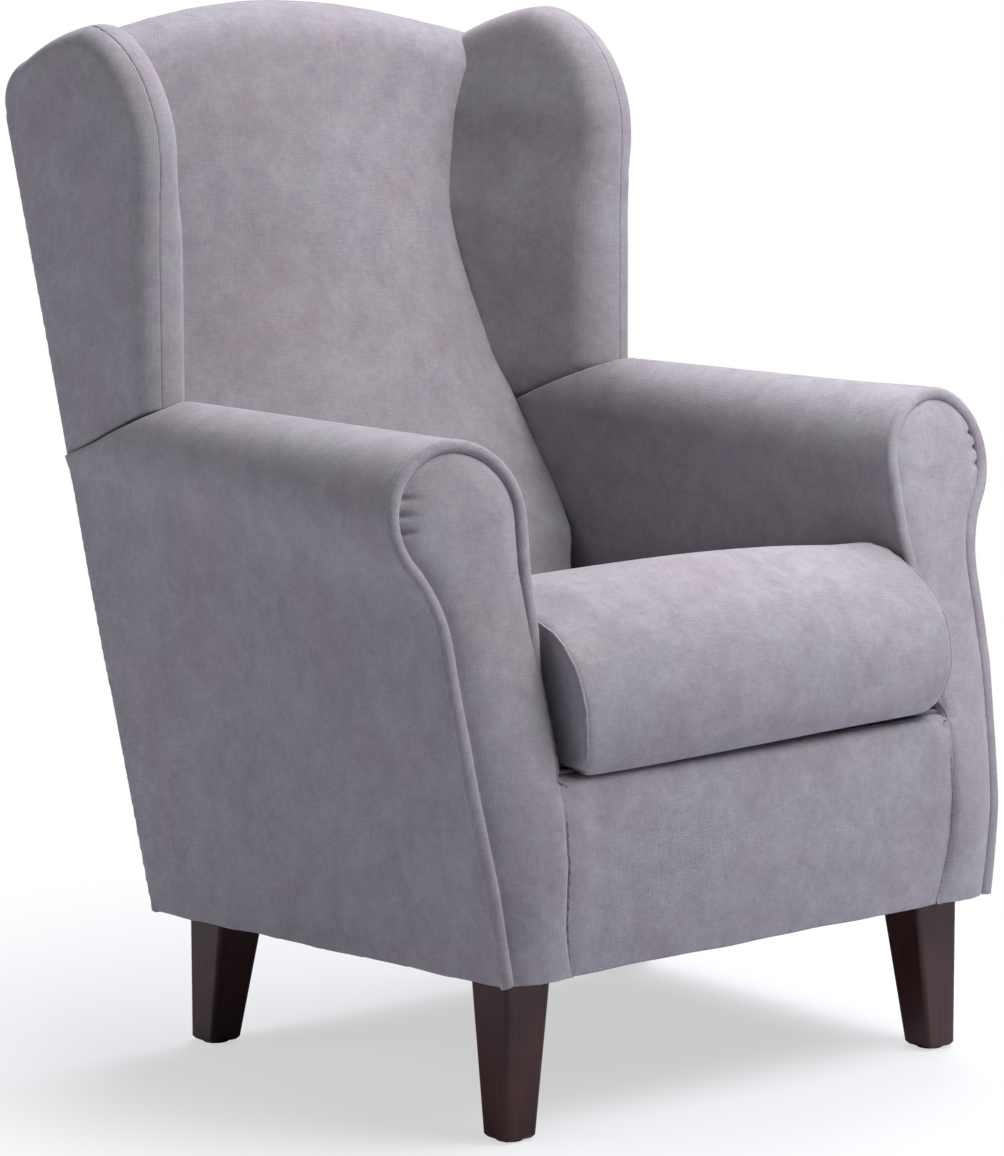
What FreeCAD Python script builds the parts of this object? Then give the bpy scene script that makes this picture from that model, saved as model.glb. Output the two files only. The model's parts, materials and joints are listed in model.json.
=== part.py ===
import FreeCAD, Part

import math
import os

# A wing armchair: timber frame, zigzag sprung seat, padded arms, wings and back, and a loose cushion.
# Millimetres. The origin is on the floor under the middle of the chair's box, +Z is up, and the
# sitter faces -Y. Left and right are the viewer's, facing the chair: left is -X.

V = FreeCAD.Vector

# Lines of the side view
base_front_y = -399.5
base_depth = 574.0
base_front_z = 160.0
base_drop = 29.0
back_rake = math.radians(16.3)
facing_proud = 6.0
facing_rake = math.radians(10.75)
facing_yaw = math.radians(6.8)
deck_front_z = 355.0
deck_pitch = math.radians(7.1)

# Widths from the middle of the seat outwards
arm_gap_half = 234.0
inside_arm_thickness = 26.0
post_thickness = 25.0
board_thickness = 22.0
panel_base_thickness = 6.0
panel_neck_flare = 28.0
panel_rear_flare = 8.0

# Rolled arms
roll_radius = 74.0
roll_overhang = 2.0
roll_height = 663.0
roll_rear_radius = 47.0
roll_rear_drop = 13.0
neck_radius = 120.0
inside_arm_draft = math.radians(3.3)
inside_arm_split_drop = 133.0
arm_rail_cover = 81.0
arm_rail_width = 43.0
tack_rail_height = 40.0

# Arm fronts
facing_depth = 12.0
facing_crown = 6.0
post_rim = 8.0
welt_radius = 5.5
welt_end_z = 348.0

# Wings: the rounding pairs a share of the thickness, counted from the outer face,
# with how far the outline is drawn in there
wing_depth = 220.0
wing_front_width = 51.0
wing_splay = math.radians(18.0)
wing_shoulder_drop = 181.0
wing_top_reach = 111.0
wing_top_drop = 7.0
wing_front_bulge = 44.0
wing_top_bulge = 6.0
wing_rear_corner_drop = 83.0
wing_rear_corner_depth = 32.0
wing_rear_top_drop = 41.0
wing_rear_bulge = 12.0
wing_rounding = ((0.0, 21.0), (0.07, 9.0), (0.3, 1.0), (0.65, 1.0), (0.9, 10.0), (1.0, 24.0))
wing_board_margin = 24.0
wing_seam_depth = 22.0
arm_seam_lead = 27.0
arm_seam_drop = 8.0
arm_seam_pitch = math.radians(22.8)

# Back: each thickness pair is for the sides and for the middle
back_pad_side_room = 1.0
back_pad_bottom_z = 300.0
back_seat_z = 470.0
back_seat_thickness = (108.0, 120.0)
back_lumbar_drop = 431.0
back_lumbar_thickness = (52.0, 108.0)
back_waist_drop = 291.0
back_waist_thickness = (26.0, 92.0)
back_chest_drop = 161.0
back_chest_thickness = (34.0, 94.0)
back_neck_drop = 16.0
back_neck_thickness = (72.0, 92.0)
crest_shoulder_drop = 10.0
crest_shoulder_thickness = (66.0, 76.0)
crest_setback = 42.0
crest_rear_setback = 14.0
crest_rear_drop = 8.0
back_panel_corner = 24.0
back_panel_thickness = 4.0
post_depth = 45.0
crest_z = 1031.0
crest_sag = 38.0
crest_cover = 28.0
crest_rail_height = 110.0
lower_rail_bottom_z = 360.0
lower_rail_height = 70.0
webbing_width = 50.0
webbing_thickness = 2.0
upright_straps = 4
cross_straps = 4

# Seat base and suspension
rail_setback = 10.0
rail_floor_gap = 3.0
side_rail_height = 110.0
block_length = 72.0
block_height = 45.0
deck_side_room = 1.5
deck_thickness = 15.0
spring_wire = 3.8
spring_bend = 12.0
spring_run = 48.0
spring_count = 5
spring_pitch = 90.0
clip_thickness = 1.2
clip_width = 22.0
clip_leaf = 9.0
dust_cover_thickness = 1.2

# Legs
leg_side_setback = 22.1
leg_front_setback = 27.0
leg_rear_setback = 34.0
leg_top_width = 56.0
leg_foot_width = 37.0
leg_edge_radius = 5.0
leg_foot_chamfer = 3.0
glide_height = 2.0
glide_radius = 13.0
glide_pin_radius = 1.6
glide_pin_length = 14.0
bolt_radius = 4.0
bolt_leg_length = 32.0
tee_nut_barrel_radius = 5.2
tee_nut_barrel_length = 14.0
tee_nut_flange_radius = 11.0
tee_nut_flange_thickness = 2.0
screw_radius = 2.2
screw_head_radius = 4.2
screw_head_length = 3.0
screw_grip = 24.0
screw_bite = 16.0

# Front apron
apron_reach = 12.0
apron_taper = 12.0
apron_shoulder_z = 240.0
apron_top_z = 350.0
apron_bulge = 13.0
apron_side_bulge = 4.0
apron_foot_bow = 2.0
apron_lip = 10.0
apron_lip_rise = 1.0

# Seat cushion
cushion_side_room = 4.0
cushion_overhang = 29.0
cushion_top_front = 95.0
cushion_front_rise = 157.0
cushion_top_pitch = math.radians(9.6)
cushion_crown = 15.0
cushion_nose_bow = 7.0
cushion_foot_tuck = 14.0
cushion_belly_rise = 41.0
cushion_brow_rise = 107.0
cushion_brow_tuck = 18.0
cushion_brow_bulge = 11.0
cushion_top_bulge = 3.0
cushion_rear_round = 24.0
cushion_rear_bulge = 7.0
cushion_rear_room = 14.0
cover_thickness = 3.0

# Zip of the cushion cover
zip_end_margin = 40.0
zip_tape_width = 28.0
zip_tape_thickness = 1.0
zip_chain_width = 6.0
zip_chain_height = 2.0
zip_rise = 62.0
slider_length = 14.0
slider_wall = 1.5
slider_bridge_length = 8.0
slider_bridge_width = 3.0
slider_bridge_height = 2.4

# Clearances
soft_gap = 0.6
fit_gap = 0.1
seat_gap = 0.3

# Places that follow from the sizes
base_rear_y = base_front_y + base_depth
base_rear_z = base_front_z - base_drop
post_x = arm_gap_half + inside_arm_thickness
rail_x = post_x + post_thickness
wall_x = rail_x + board_thickness + soft_gap
base_half_width = wall_x + panel_base_thickness
apron_half_width = arm_gap_half + apron_reach
apron_foot_half_width = apron_half_width - apron_taper
deck_half_width = arm_gap_half - deck_side_room
cushion_half_width = arm_gap_half - cushion_side_room
back_pad_half_width = arm_gap_half - back_pad_side_room
zip_half_length = cushion_half_width - zip_end_margin
roll_x = arm_gap_half - roll_overhang + roll_radius
roll_z = roll_height - roll_radius
arm_rail_top_z = roll_height - arm_rail_cover
inside_arm_split_z = roll_height - inside_arm_split_drop
wing_outer_x = base_half_width + panel_rear_flare
wing_inner_x = wing_outer_x - wing_front_width
wing_seam_x = wing_outer_x - wing_seam_depth
wing_shoulder_z = crest_z - wing_shoulder_drop
wing_top_z = crest_z - wing_top_drop
wing_rear_top_z = crest_z - wing_rear_top_drop
wing_rear_corner_z = crest_z - wing_rear_corner_drop
back_lumbar_z = crest_z - back_lumbar_drop
back_waist_z = crest_z - back_waist_drop
back_chest_z = crest_z - back_chest_drop
leg_outer_x = base_half_width - leg_side_setback
leg_front_y = base_front_y + leg_front_setback
leg_rear_y = base_rear_y - leg_rear_setback
spring_below_deck = deck_thickness + clip_thickness + 2 * seat_gap + spring_wire / 2.0
spring_stack = spring_below_deck + spring_wire / 2.0 + seat_gap + clip_thickness + fit_gap
frame_rear_inset = back_panel_thickness + soft_gap
frame_front_inset = frame_rear_inset + board_thickness
post_front_inset = frame_rear_inset + post_depth
pad_back_inset = frame_front_inset + 2 * (webbing_thickness + seat_gap) + seat_gap
cushion_rear_inset = back_seat_thickness[1] + cushion_rear_room
crown_shares = (-1.0, -0.85, -0.5, 0.0, 0.5, 0.85, 1.0)
far = 2000.0


def base_z(y):
    return base_front_z - base_drop * (y - base_front_y) / base_depth


def rail_foot_z(y):
    return base_z(y) + rail_floor_gap


def rear_y(z, inset=0.0):
    return base_rear_y + math.tan(back_rake) * (z - base_rear_z) - inset


wing_front_y = rear_y(wing_shoulder_z) - wing_depth


def facing_y(x, z, depth=0.0):
    lean = math.tan(facing_rake) * (z - base_front_z)
    turn = math.tan(facing_yaw) * (x - base_half_width)
    return base_front_y - facing_proud + lean + turn + depth


def deck_z(y):
    return deck_front_z - math.tan(deck_pitch) * (y - base_front_y)


def meets_rear(inset, start_y, start_z, pitch):
    """Height where a line that falls from a start point meets the rear plane at an inset."""
    rake = math.tan(back_rake)
    fall = math.tan(pitch)
    foot_y = base_rear_y - rake * base_rear_z - inset
    return (start_z - fall * (foot_y - start_y)) / (1.0 + fall * rake)


def deck_meets_rear(inset, below):
    return meets_rear(inset, base_front_y, deck_front_z - below, deck_pitch)


def bulge(start, end, sagitta):
    """Arc step from start to end that stands out to the left of the way by the sagitta."""
    run = math.hypot(end[0] - start[0], end[1] - start[1])
    middle_a = (start[0] + end[0]) / 2.0 - sagitta * (end[1] - start[1]) / run
    middle_b = (start[1] + end[1]) / 2.0 + sagitta * (end[0] - start[0]) / run
    return ((middle_a, middle_b), end)


def wire(place, start, *steps):
    """Closed wire: each step is a point for a line, or a pair of points for an arc."""
    edges = []
    here = start
    for step in steps + (start,):
        if isinstance(step[0], tuple):
            middle, end = step
            edges.append(Part.Arc(place(*here), place(*middle), place(*end)).toShape())
        elif step == here:
            continue
        else:
            end = step
            edges.append(Part.makeLine(place(*here), place(*end)))
        here = end
    return Part.Wire(edges)


def loft(wires, ruled=False):
    return Part.makeLoft(wires, True, ruled)


def plate(x0, x1, start, *steps):
    """Outline in the side view, Y and Z, from x0 to x1."""
    outline = wire(lambda y, z: V(x0, y, z), start, *steps)
    return Part.Face(outline).extrude(V(x1 - x0, 0, 0))


def box(x0, x1, y0, y1, z0, z1):
    return Part.makeBox(x1 - x0, y1 - y0, z1 - z0, V(x0, y0, z0))


def rod(radius, length, start, direction):
    return Part.makeCylinder(radius, length, start, direction)


def mirrored(shape):
    return shape.mirror(V(0, 0, 0), V(1, 0, 0))


def both_sides(shapes):
    return shapes + [mirrored(shape) for shape in shapes]


def facing_place(depth):
    return lambda x, z: V(x, facing_y(x, z, depth), z)


def raked_place(inset):
    return lambda x, z: V(x, rear_y(z, inset), z)


def raked_slab(x0, x1, front_inset, rear_inset, z0, z1):
    """Board parallel to the rear plane."""
    return plate(
        x0, x1,
        (rear_y(z0, front_inset), z0),
        (rear_y(z0, rear_inset), z0),
        (rear_y(z1, rear_inset), z1),
        (rear_y(z1, front_inset), z1),
    )


def ahead_of_facing(depth):
    """All that lies in front of the arm front's plane at a depth, on the right."""
    corner = wire(facing_place(depth), (0.0, 0.0), (far, 0.0), (far, crest_z), (0.0, crest_z))
    return Part.Face(corner).extrude(V(0, -far, 0))


def behind(inset):
    return plate(
        -far, far,
        (rear_y(-crest_z, inset), -crest_z),
        (rear_y(2 * crest_z, inset), 2 * crest_z),
        (far, 2 * crest_z),
        (far, -crest_z),
    )


def below_base(lift):
    return plate(
        -far, far,
        (-far, base_z(-far) + lift),
        (far, base_z(far) + lift),
        (far, -far),
        (-far, -far),
    )


def arm_seam_at(y):
    """Height of the sloping seam where a wing stands on its arm."""
    start_y = wing_front_y - arm_seam_lead
    return roll_height - arm_seam_drop - math.tan(arm_seam_pitch) * (y - start_y)


def above_arm_seam(lift):
    return plate(
        0.0, far,
        (-far, arm_seam_at(-far) + lift),
        (far, arm_seam_at(far) + lift),
        (far, far),
        (-far, far),
    )


class ArmOutline:
    """Section of one arm: rolled top, neck, outer flank and inner face, with exact insets."""

    def __init__(self, centre_x, centre_z, radius, neck_x, foot_x, foot_z):
        self.centre_x = centre_x
        self.centre_z = centre_z
        self.radius = radius
        self.neck_x = neck_x
        self.foot_x = foot_x
        self.foot_z = foot_z
        run = neck_x + neck_radius - centre_x
        reach = radius + neck_radius
        drop = math.sqrt(reach ** 2 - run ** 2)
        self.neck_z = centre_z - drop
        self.turn = math.atan2(drop, run)

    def on_roll(self, angle, inset):
        radius = self.radius - inset
        return (self.centre_x + radius * math.cos(angle), self.centre_z + radius * math.sin(angle))

    def on_neck(self, angle, inset):
        radius = neck_radius + inset
        x = self.neck_x + neck_radius - radius * math.cos(angle)
        return (x, self.neck_z + radius * math.sin(angle))

    def neck(self, inset=0.0):
        return (self.neck_x - inset, self.neck_z)

    def flank(self, z, inset=0.0):
        """Point of the long outer arc between the neck and the foot."""
        height = self.neck_z - self.foot_z
        sink = self.neck_x - self.foot_x
        radius = (height ** 2 + sink ** 2) / (2.0 * sink) - inset
        return (self.neck_x - inset - radius + math.sqrt(radius ** 2 - (self.neck_z - z) ** 2), z)

    def inner(self, z, inset=0.0):
        """Point of the inner face, tangent to the roll."""
        start_x, start_z = self.on_roll(math.pi + inside_arm_draft, inset)
        return (start_x + math.tan(inside_arm_draft) * (start_z - z), z)

    def flank_step(self, inset=0.0):
        return (self.flank((self.neck_z + self.foot_z) / 2.0, inset), self.neck(inset))

    def over_steps(self, inset=0.0):
        """Arcs from the neck over the roll to the start of the inner face."""
        return (
            (self.on_neck(self.turn / 2.0, inset), self.on_roll(-self.turn, inset)),
            (self.on_roll((math.pi / 2.0 - self.turn) / 2.0, inset), self.on_roll(math.pi / 2.0, inset)),
            (self.on_roll(math.radians(135.0), inset), self.on_roll(math.pi + inside_arm_draft, inset)),
        )


front_arm = ArmOutline(
    roll_x, roll_z, roll_radius, base_half_width + panel_neck_flare, base_half_width, base_front_z
)
rear_arm = ArmOutline(
    arm_gap_half + roll_rear_radius, roll_height - roll_rear_drop - roll_rear_radius, roll_rear_radius,
    wing_outer_x, base_half_width, base_rear_z
)


def arm_places():
    return ((front_arm, facing_place(facing_depth)), (rear_arm, raked_place(frame_rear_inset)))


def arm_front_post():
    outline = wire(
        facing_place(facing_depth),
        (apron_half_width + soft_gap, base_front_z - base_drop),
        front_arm.flank(base_front_z, post_rim),
        front_arm.flank_step(post_rim),
        *front_arm.over_steps(post_rim),
        front_arm.inner(welt_end_z, post_rim),
        (apron_half_width + soft_gap, welt_end_z - post_rim),
    )
    post = Part.Face(outline).extrude(V(0, board_thickness, 0))
    return post.cut(below_base(rail_floor_gap))


def side_rail():
    rail = plate(
        rail_x, rail_x + board_thickness,
        (base_front_y, rail_foot_z(base_front_y)),
        (base_rear_y, rail_foot_z(base_rear_y)),
        (far, rail_foot_z(base_rear_y)),
        (far, rail_foot_z(base_rear_y) + side_rail_height),
        (base_front_y, rail_foot_z(base_front_y) + side_rail_height),
    )
    return rail.cut(ahead_of_facing(facing_depth + board_thickness)).cut(behind(frame_rear_inset))


def front_rail():
    front = base_front_y + rail_setback
    back = front + board_thickness
    return plate(
        -apron_foot_half_width + soft_gap, apron_foot_half_width - soft_gap,
        (front, rail_foot_z(front)),
        (back, rail_foot_z(back)),
        (back, deck_z(back) - spring_stack),
        (front, deck_z(front) - spring_stack),
    )


def rear_rail():
    foot = rail_foot_z(base_rear_y) + rail_floor_gap
    front_top = deck_meets_rear(frame_front_inset, spring_stack)
    rear_top = deck_meets_rear(frame_rear_inset, spring_stack)
    return plate(
        -post_x, post_x,
        (rear_y(foot, frame_front_inset), foot),
        (rear_y(foot, frame_rear_inset), foot),
        (rear_y(rear_top, frame_rear_inset), rear_top),
        (rear_y(front_top, frame_front_inset), front_top),
    )


def back_post():
    top = wing_rear_corner_z
    post = raked_slab(post_x, rail_x, post_front_inset, frame_rear_inset, 0.0, top)
    return post.cut(below_base(rail_floor_gap))


def crest_at(x, drop):
    return crest_z - drop - crest_sag * (x / back_pad_half_width) ** 2


def crest_slab(front_inset, rear_inset, half_width, foot, drop):
    """Raked board under the arch of the crest."""
    outline = wire(
        lambda x, z: V(x, 0.0, z),
        (-half_width, foot),
        (half_width, foot),
        (half_width, crest_at(half_width, drop)),
        ((0.0, crest_at(0.0, drop)), (-half_width, crest_at(half_width, drop))),
    )
    board = Part.Face(outline).extrude(V(0, far, 0))
    return board.common(raked_slab(-far, far, front_inset, rear_inset, -crest_z, 2 * crest_z))


def crest_rail():
    foot = crest_at(0.0, crest_cover) - crest_rail_height
    return crest_slab(frame_front_inset, frame_rear_inset, post_x, foot, crest_cover)


def lower_back_rail():
    return raked_slab(
        -post_x, post_x, frame_front_inset, frame_rear_inset,
        lower_rail_bottom_z, lower_rail_bottom_z + lower_rail_height
    )


def spread(count, reach):
    """Evenly spaced places from -reach to reach."""
    return [reach * (2.0 * i / (count - 1) - 1.0) for i in range(count)]


def upright_webbing():
    front = frame_front_inset + seat_gap + webbing_thickness
    foot = lower_rail_bottom_z + lower_rail_height / 4.0
    top = crest_at(post_x, crest_cover) - webbing_width / 4.0
    straps = []
    for x in spread(upright_straps, post_x - 2 * webbing_width):
        half = webbing_width / 2.0
        straps.append(raked_slab(x - half, x + half, front, front - webbing_thickness, foot, top))
    return Part.Compound(straps)


def cross_webbing():
    front = frame_front_inset + 2 * (seat_gap + webbing_thickness)
    low = lower_rail_bottom_z + lower_rail_height + webbing_width
    high = crest_at(0.0, crest_cover) - crest_rail_height - webbing_width
    straps = []
    for z in spread(cross_straps, (high - low) / 2.0):
        foot = z + (high + low - webbing_width) / 2.0
        top = foot + webbing_width
        straps.append(raked_slab(-post_x, post_x, front, front - webbing_thickness, foot, top))
    return Part.Compound(straps)


def arm_top_rail():
    rail = box(
        rail_x + board_thickness - arm_rail_width, rail_x + board_thickness, -far, far,
        arm_rail_top_z - board_thickness, arm_rail_top_z
    )
    return rail.cut(ahead_of_facing(facing_depth + board_thickness)).cut(behind(post_front_inset))


def arm_tack_rail():
    rail = plate(
        post_x, post_x + board_thickness,
        (-far, deck_z(-far)),
        (far, deck_z(far)),
        (far, deck_z(far) - tack_rail_height),
        (-far, deck_z(-far) - tack_rail_height),
    )
    return rail.cut(ahead_of_facing(facing_depth + board_thickness)).cut(behind(post_front_inset))


def wing_steps(inset, foot, rear_inset):
    """Side outline of a wing, drawn in by an inset at its front and top."""
    front = wing_front_y + inset
    shoulder = (front, wing_shoulder_z)
    top = (wing_front_y + wing_top_reach, wing_top_z - inset)
    rear_top = (rear_y(wing_rear_corner_z) - wing_rear_corner_depth, wing_rear_top_z - inset)
    corner_z = wing_rear_corner_z - inset
    corner = (rear_y(corner_z, rear_inset), corner_z)
    return (
        (front, foot),
        shoulder,
        bulge(shoulder, top, wing_front_bulge),
        bulge(top, rear_top, wing_top_bulge),
        bulge(rear_top, corner, wing_rear_bulge),
        (rear_y(foot, rear_inset), foot),
    )


def wing_board():
    outline = wing_steps(wing_board_margin, arm_rail_top_z, frame_rear_inset)
    return plate(rail_x, rail_x + board_thickness, *outline).cut(behind(frame_rear_inset))


def wing_form(grow):
    """Padded wing: rounded front and top edges, the inner face splayed towards the back."""
    outer = wing_outer_x + grow
    foot = arm_rail_top_z - 2 * board_thickness

    def section(share, inset):
        def place(y, z):
            inner = wing_inner_x - grow - math.tan(wing_splay) * (y - wing_front_y)
            return V(outer + share * (inner - outer), y, z)
        return wire(place, *wing_steps(inset - grow, foot, frame_rear_inset))

    form = loft([section(share, inset) for share, inset in wing_rounding])
    return form.common(above_arm_seam(soft_gap - grow))


def webbing_zone():
    """Room between the back posts for the rails and the webbing."""
    return crest_slab(pad_back_inset, 0.0, post_x, 0.0, crest_cover - fit_gap)


def inside_wing_pad(board, post):
    inner = box(0.0, wing_seam_x - soft_gap / 2.0, -far, far, 0.0, far)
    return wing_form(0.0).common(inner).cut(board).cut(post).cut(webbing_zone())


def outside_wing_panel(board):
    outer = box(wing_seam_x + soft_gap / 2.0, far, -far, far, 0.0, far)
    return wing_form(0.0).common(outer).cut(board)


def arm_roll_pad(post, board, back):
    """Padding over the arm rail: an inverted U from the neck over the roll to the inside arm."""
    def section(arm, place):
        return wire(
            place,
            arm.neck(),
            *arm.over_steps(),
            arm.inner(inside_arm_split_z),
            (post_x, inside_arm_split_z),
            (post_x, arm_rail_top_z),
            (wall_x, arm_rail_top_z),
            (wall_x, arm.neck_z),
        )
    pad = loft([section(arm, place) for arm, place in arm_places()], True)
    return pad.cut(above_arm_seam(0.0)).cut(post).cut(board).cut(back).cut(webbing_zone())


def inside_arm_pad(post):
    top = inside_arm_split_z - soft_gap
    foot = deck_front_z - tack_rail_height

    def section(arm, place):
        return wire(place, arm.inner(top), arm.inner(foot), (post_x, foot), (post_x, top))
    pad = loft([section(arm, place) for arm, place in arm_places()], True)
    under_deck = plate(
        0.0, far,
        (-far, deck_z(-far) - tack_rail_height),
        (far, deck_z(far) - tack_rail_height),
        (far, -far),
        (-far, -far),
    )
    return pad.cut(under_deck).cut(post).cut(webbing_zone())


def outside_arm_panel(post):
    def section(arm, place):
        return wire(
            place,
            (wall_x, arm.foot_z),
            (arm.foot_x, arm.foot_z),
            arm.flank_step(),
            (wall_x, arm.neck_z),
        )
    panel = loft([section(arm, place) for arm, place in arm_places()], True)
    lowered = panel.copy()
    lowered.translate(V(0, 0, -soft_gap))
    return lowered.cut(below_base(0.0)).cut(post)


def apron_side_sag():
    return (apron_half_width - apron_foot_half_width) / 4.0


def arm_facing():
    """Padded front of an arm inside the welt, crowned forward."""
    rim = 2 * welt_radius + soft_gap + fit_gap

    def section(depth, inset):
        foot = (apron_foot_half_width + soft_gap + inset, base_front_z)
        shoulder = (apron_half_width + soft_gap + inset, apron_shoulder_z)
        return wire(
            facing_place(depth),
            foot,
            front_arm.flank(base_front_z, rim + inset),
            front_arm.flank_step(rim + inset),
            *front_arm.over_steps(rim + inset),
            front_arm.inner(welt_end_z, rim + inset),
            (shoulder[0], welt_end_z - welt_radius),
            shoulder,
            bulge(shoulder, foot, apron_side_sag()),
        )
    back = section(facing_depth - soft_gap, 0.0)
    edge = section(facing_depth / 4.0, 0.0)
    crown = section(-facing_crown, 4 * welt_radius)
    form = loft([back, edge], True).fuse(loft([edge, crown], True)).removeSplitter()
    return form.cut(below_base(0.0))


def arm_welt():
    """Piping round an arm front, from the floor edge outside to the apron inside."""
    inset = welt_radius + fit_gap
    place = facing_place(facing_depth / 2.0 - soft_gap / 2.0)
    foot = front_arm.flank(base_front_z, inset)
    middle, neck = front_arm.flank_step(inset)
    edges = [Part.Arc(place(*foot), place(*middle), place(*neck)).toShape()]
    here = neck
    for middle, end in front_arm.over_steps(inset):
        edges.append(Part.Arc(place(*here), place(*middle), place(*end)).toShape())
        here = end
    edges.append(Part.makeLine(place(*here), place(*front_arm.inner(welt_end_z, inset))))
    path = Part.Wire(edges)
    start = edges[0].Curve.tangent(edges[0].FirstParameter)[0]
    ring = Part.Wire(Part.makeCircle(welt_radius - fit_gap, place(*foot), start))
    return path.makePipeShell([ring], True, False)


def front_apron():
    """Padded front panel under the cushion, with sides drawn in at the foot."""
    rear = base_front_y + rail_setback - seat_gap
    lip_z = apron_top_z - apron_lip

    def section(share):
        x = share * apron_half_width
        crown = 1.0 - share ** 4
        foot_y = base_front_y - apron_foot_bow * crown
        middle = base_front_y - apron_side_bulge - (apron_bulge - apron_side_bulge) * crown
        lip_y = (foot_y + 2.0 * middle) / 3.0
        return wire(
            lambda y, z: V(x, y, z),
            (rear, base_front_z),
            (foot_y, base_front_z),
            ((middle, (base_front_z + lip_z) / 2.0), (lip_y, lip_z)),
            (((lip_y + rear) / 2.0, apron_top_z - apron_lip_rise), (rear, apron_top_z)),
        )
    form = loft([section(share) for share in crown_shares])
    foot = (apron_foot_half_width, base_front_z)
    shoulder = (apron_half_width, apron_shoulder_z)
    outline = wire(
        lambda x, z: V(x, -far, z),
        (-foot[0], foot[1]),
        foot,
        bulge(foot, shoulder, -apron_side_sag()),
        (apron_half_width, far),
        (-apron_half_width, far),
        (-apron_half_width, apron_shoulder_z),
        bulge((-shoulder[0], shoulder[1]), (-foot[0], foot[1]), -apron_side_sag()),
    )
    return form.common(Part.Face(outline).extrude(V(0, far + rear, 0)))


def inside_back_pad(wings):
    """Crowned inside back with a lumbar swell, an arched crest and a flat rear."""
    def section(share):
        x = share * back_pad_half_width
        top = crest_at(x, 0.0)
        lip = top - crest_cover
        neck_z = lip - back_neck_drop

        def front(z, thickness):
            side, middle = thickness
            return (rear_y(z, side + (middle - side) * (1.0 - share ** 2)), z)
        return wire(
            lambda y, z: V(x, y, z),
            (rear_y(back_pad_bottom_z, frame_rear_inset), back_pad_bottom_z),
            front(back_pad_bottom_z, back_seat_thickness),
            front(back_seat_z, back_seat_thickness),
            (front(back_lumbar_z, back_lumbar_thickness), front(back_waist_z, back_waist_thickness)),
            (front(back_chest_z, back_chest_thickness), front(neck_z, back_neck_thickness)),
            (front(top - crest_shoulder_drop, crest_shoulder_thickness), (rear_y(top, crest_setback), top)),
            (
                (rear_y(top, crest_rear_setback), top - crest_rear_drop),
                (rear_y(lip, frame_rear_inset), lip),
            ),
        )
    pad = loft([section(share) for share in crown_shares]).cut(webbing_zone())
    for wing in wings:
        pad = pad.cut(wing)
    return pad


def outside_back_panel():
    half = wing_outer_x - soft_gap
    top = wing_rear_corner_z
    low_corner = (half, top - back_panel_corner)
    high_corner = (half - back_panel_corner, top)
    shoulder = (back_pad_half_width, crest_at(back_pad_half_width, crest_cover) - soft_gap)
    round_off = back_panel_corner / 5.0
    outline = wire(
        raked_place(back_panel_thickness),
        (-base_half_width, base_rear_z),
        (base_half_width, base_rear_z),
        low_corner,
        bulge(low_corner, high_corner, -round_off),
        shoulder,
        ((0.0, crest_at(0.0, crest_cover) - soft_gap), (-shoulder[0], shoulder[1])),
        (-high_corner[0], high_corner[1]),
        bulge((-high_corner[0], high_corner[1]), (-low_corner[0], low_corner[1]), -round_off),
    )
    return Part.Face(outline).extrude(V(0, back_panel_thickness, 0))


def seat_deck():
    front = base_front_y + rail_setback + seat_gap
    rear = deck_meets_rear(frame_front_inset, 0.0)
    end = rear_y(rear, frame_front_inset)
    return plate(
        -deck_half_width, deck_half_width,
        (front, deck_z(front) - deck_thickness),
        (end, deck_z(end) - deck_thickness),
        (end, deck_z(end)),
        (front, deck_z(front)),
    )


def deck_frame(x, y, below):
    """Place along the seat pitch, at a depth under the deck."""
    def place(across, along, up=0.0):
        s = math.sin(deck_pitch)
        c = math.cos(deck_pitch)
        return V(x + across, y + along * c + up * s, deck_z(y) - below - along * s + up * c)
    return place


def spring_ends():
    front = base_front_y + rail_setback + board_thickness / 2.0
    rear_z = deck_meets_rear(frame_rear_inset + board_thickness / 2.0, spring_stack)
    rear = rear_y(rear_z, frame_rear_inset + board_thickness / 2.0)
    return front, (rear - front) / math.cos(deck_pitch)


def seat_springs():
    """Zigzag springs: straight runs joined by half turns, two quarter arcs each."""
    front, length = spring_ends()
    place = deck_frame(0.0, front, spring_below_deck)
    runs = int(length / (2.0 * spring_bend)) + 1
    bend = length / (2.0 * (runs - 1))
    half = spring_run / 2.0
    slant = math.sqrt(0.5)
    edges = []
    side = 1.0
    for i in range(runs):
        along = 2.0 * bend * i
        edges.append(Part.makeLine(place(-side * half, along), place(side * half, along)))
        if i == runs - 1:
            break
        first = place(side * (half + bend * slant), along + bend * (1.0 - slant))
        peak = place(side * (half + bend), along + bend)
        last = place(side * (half + bend * slant), along + bend * (1.0 + slant))
        edges.append(Part.Arc(place(side * half, along), first, peak).toShape())
        edges.append(Part.Arc(peak, last, place(side * half, along + 2.0 * bend)).toShape())
        side = -side
    ring = Part.Wire(Part.makeCircle(spring_wire / 2.0, place(-half, 0.0), V(1, 0, 0)))
    spring = Part.Wire(edges).makePipeShell([ring], True, False)
    springs = []
    for x in spread(spring_count, spring_pitch * (spring_count - 1) / 2.0):
        copy = spring.copy()
        copy.translate(V(x, 0, 0))
        springs.append(copy)
    return Part.Compound(springs)


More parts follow.
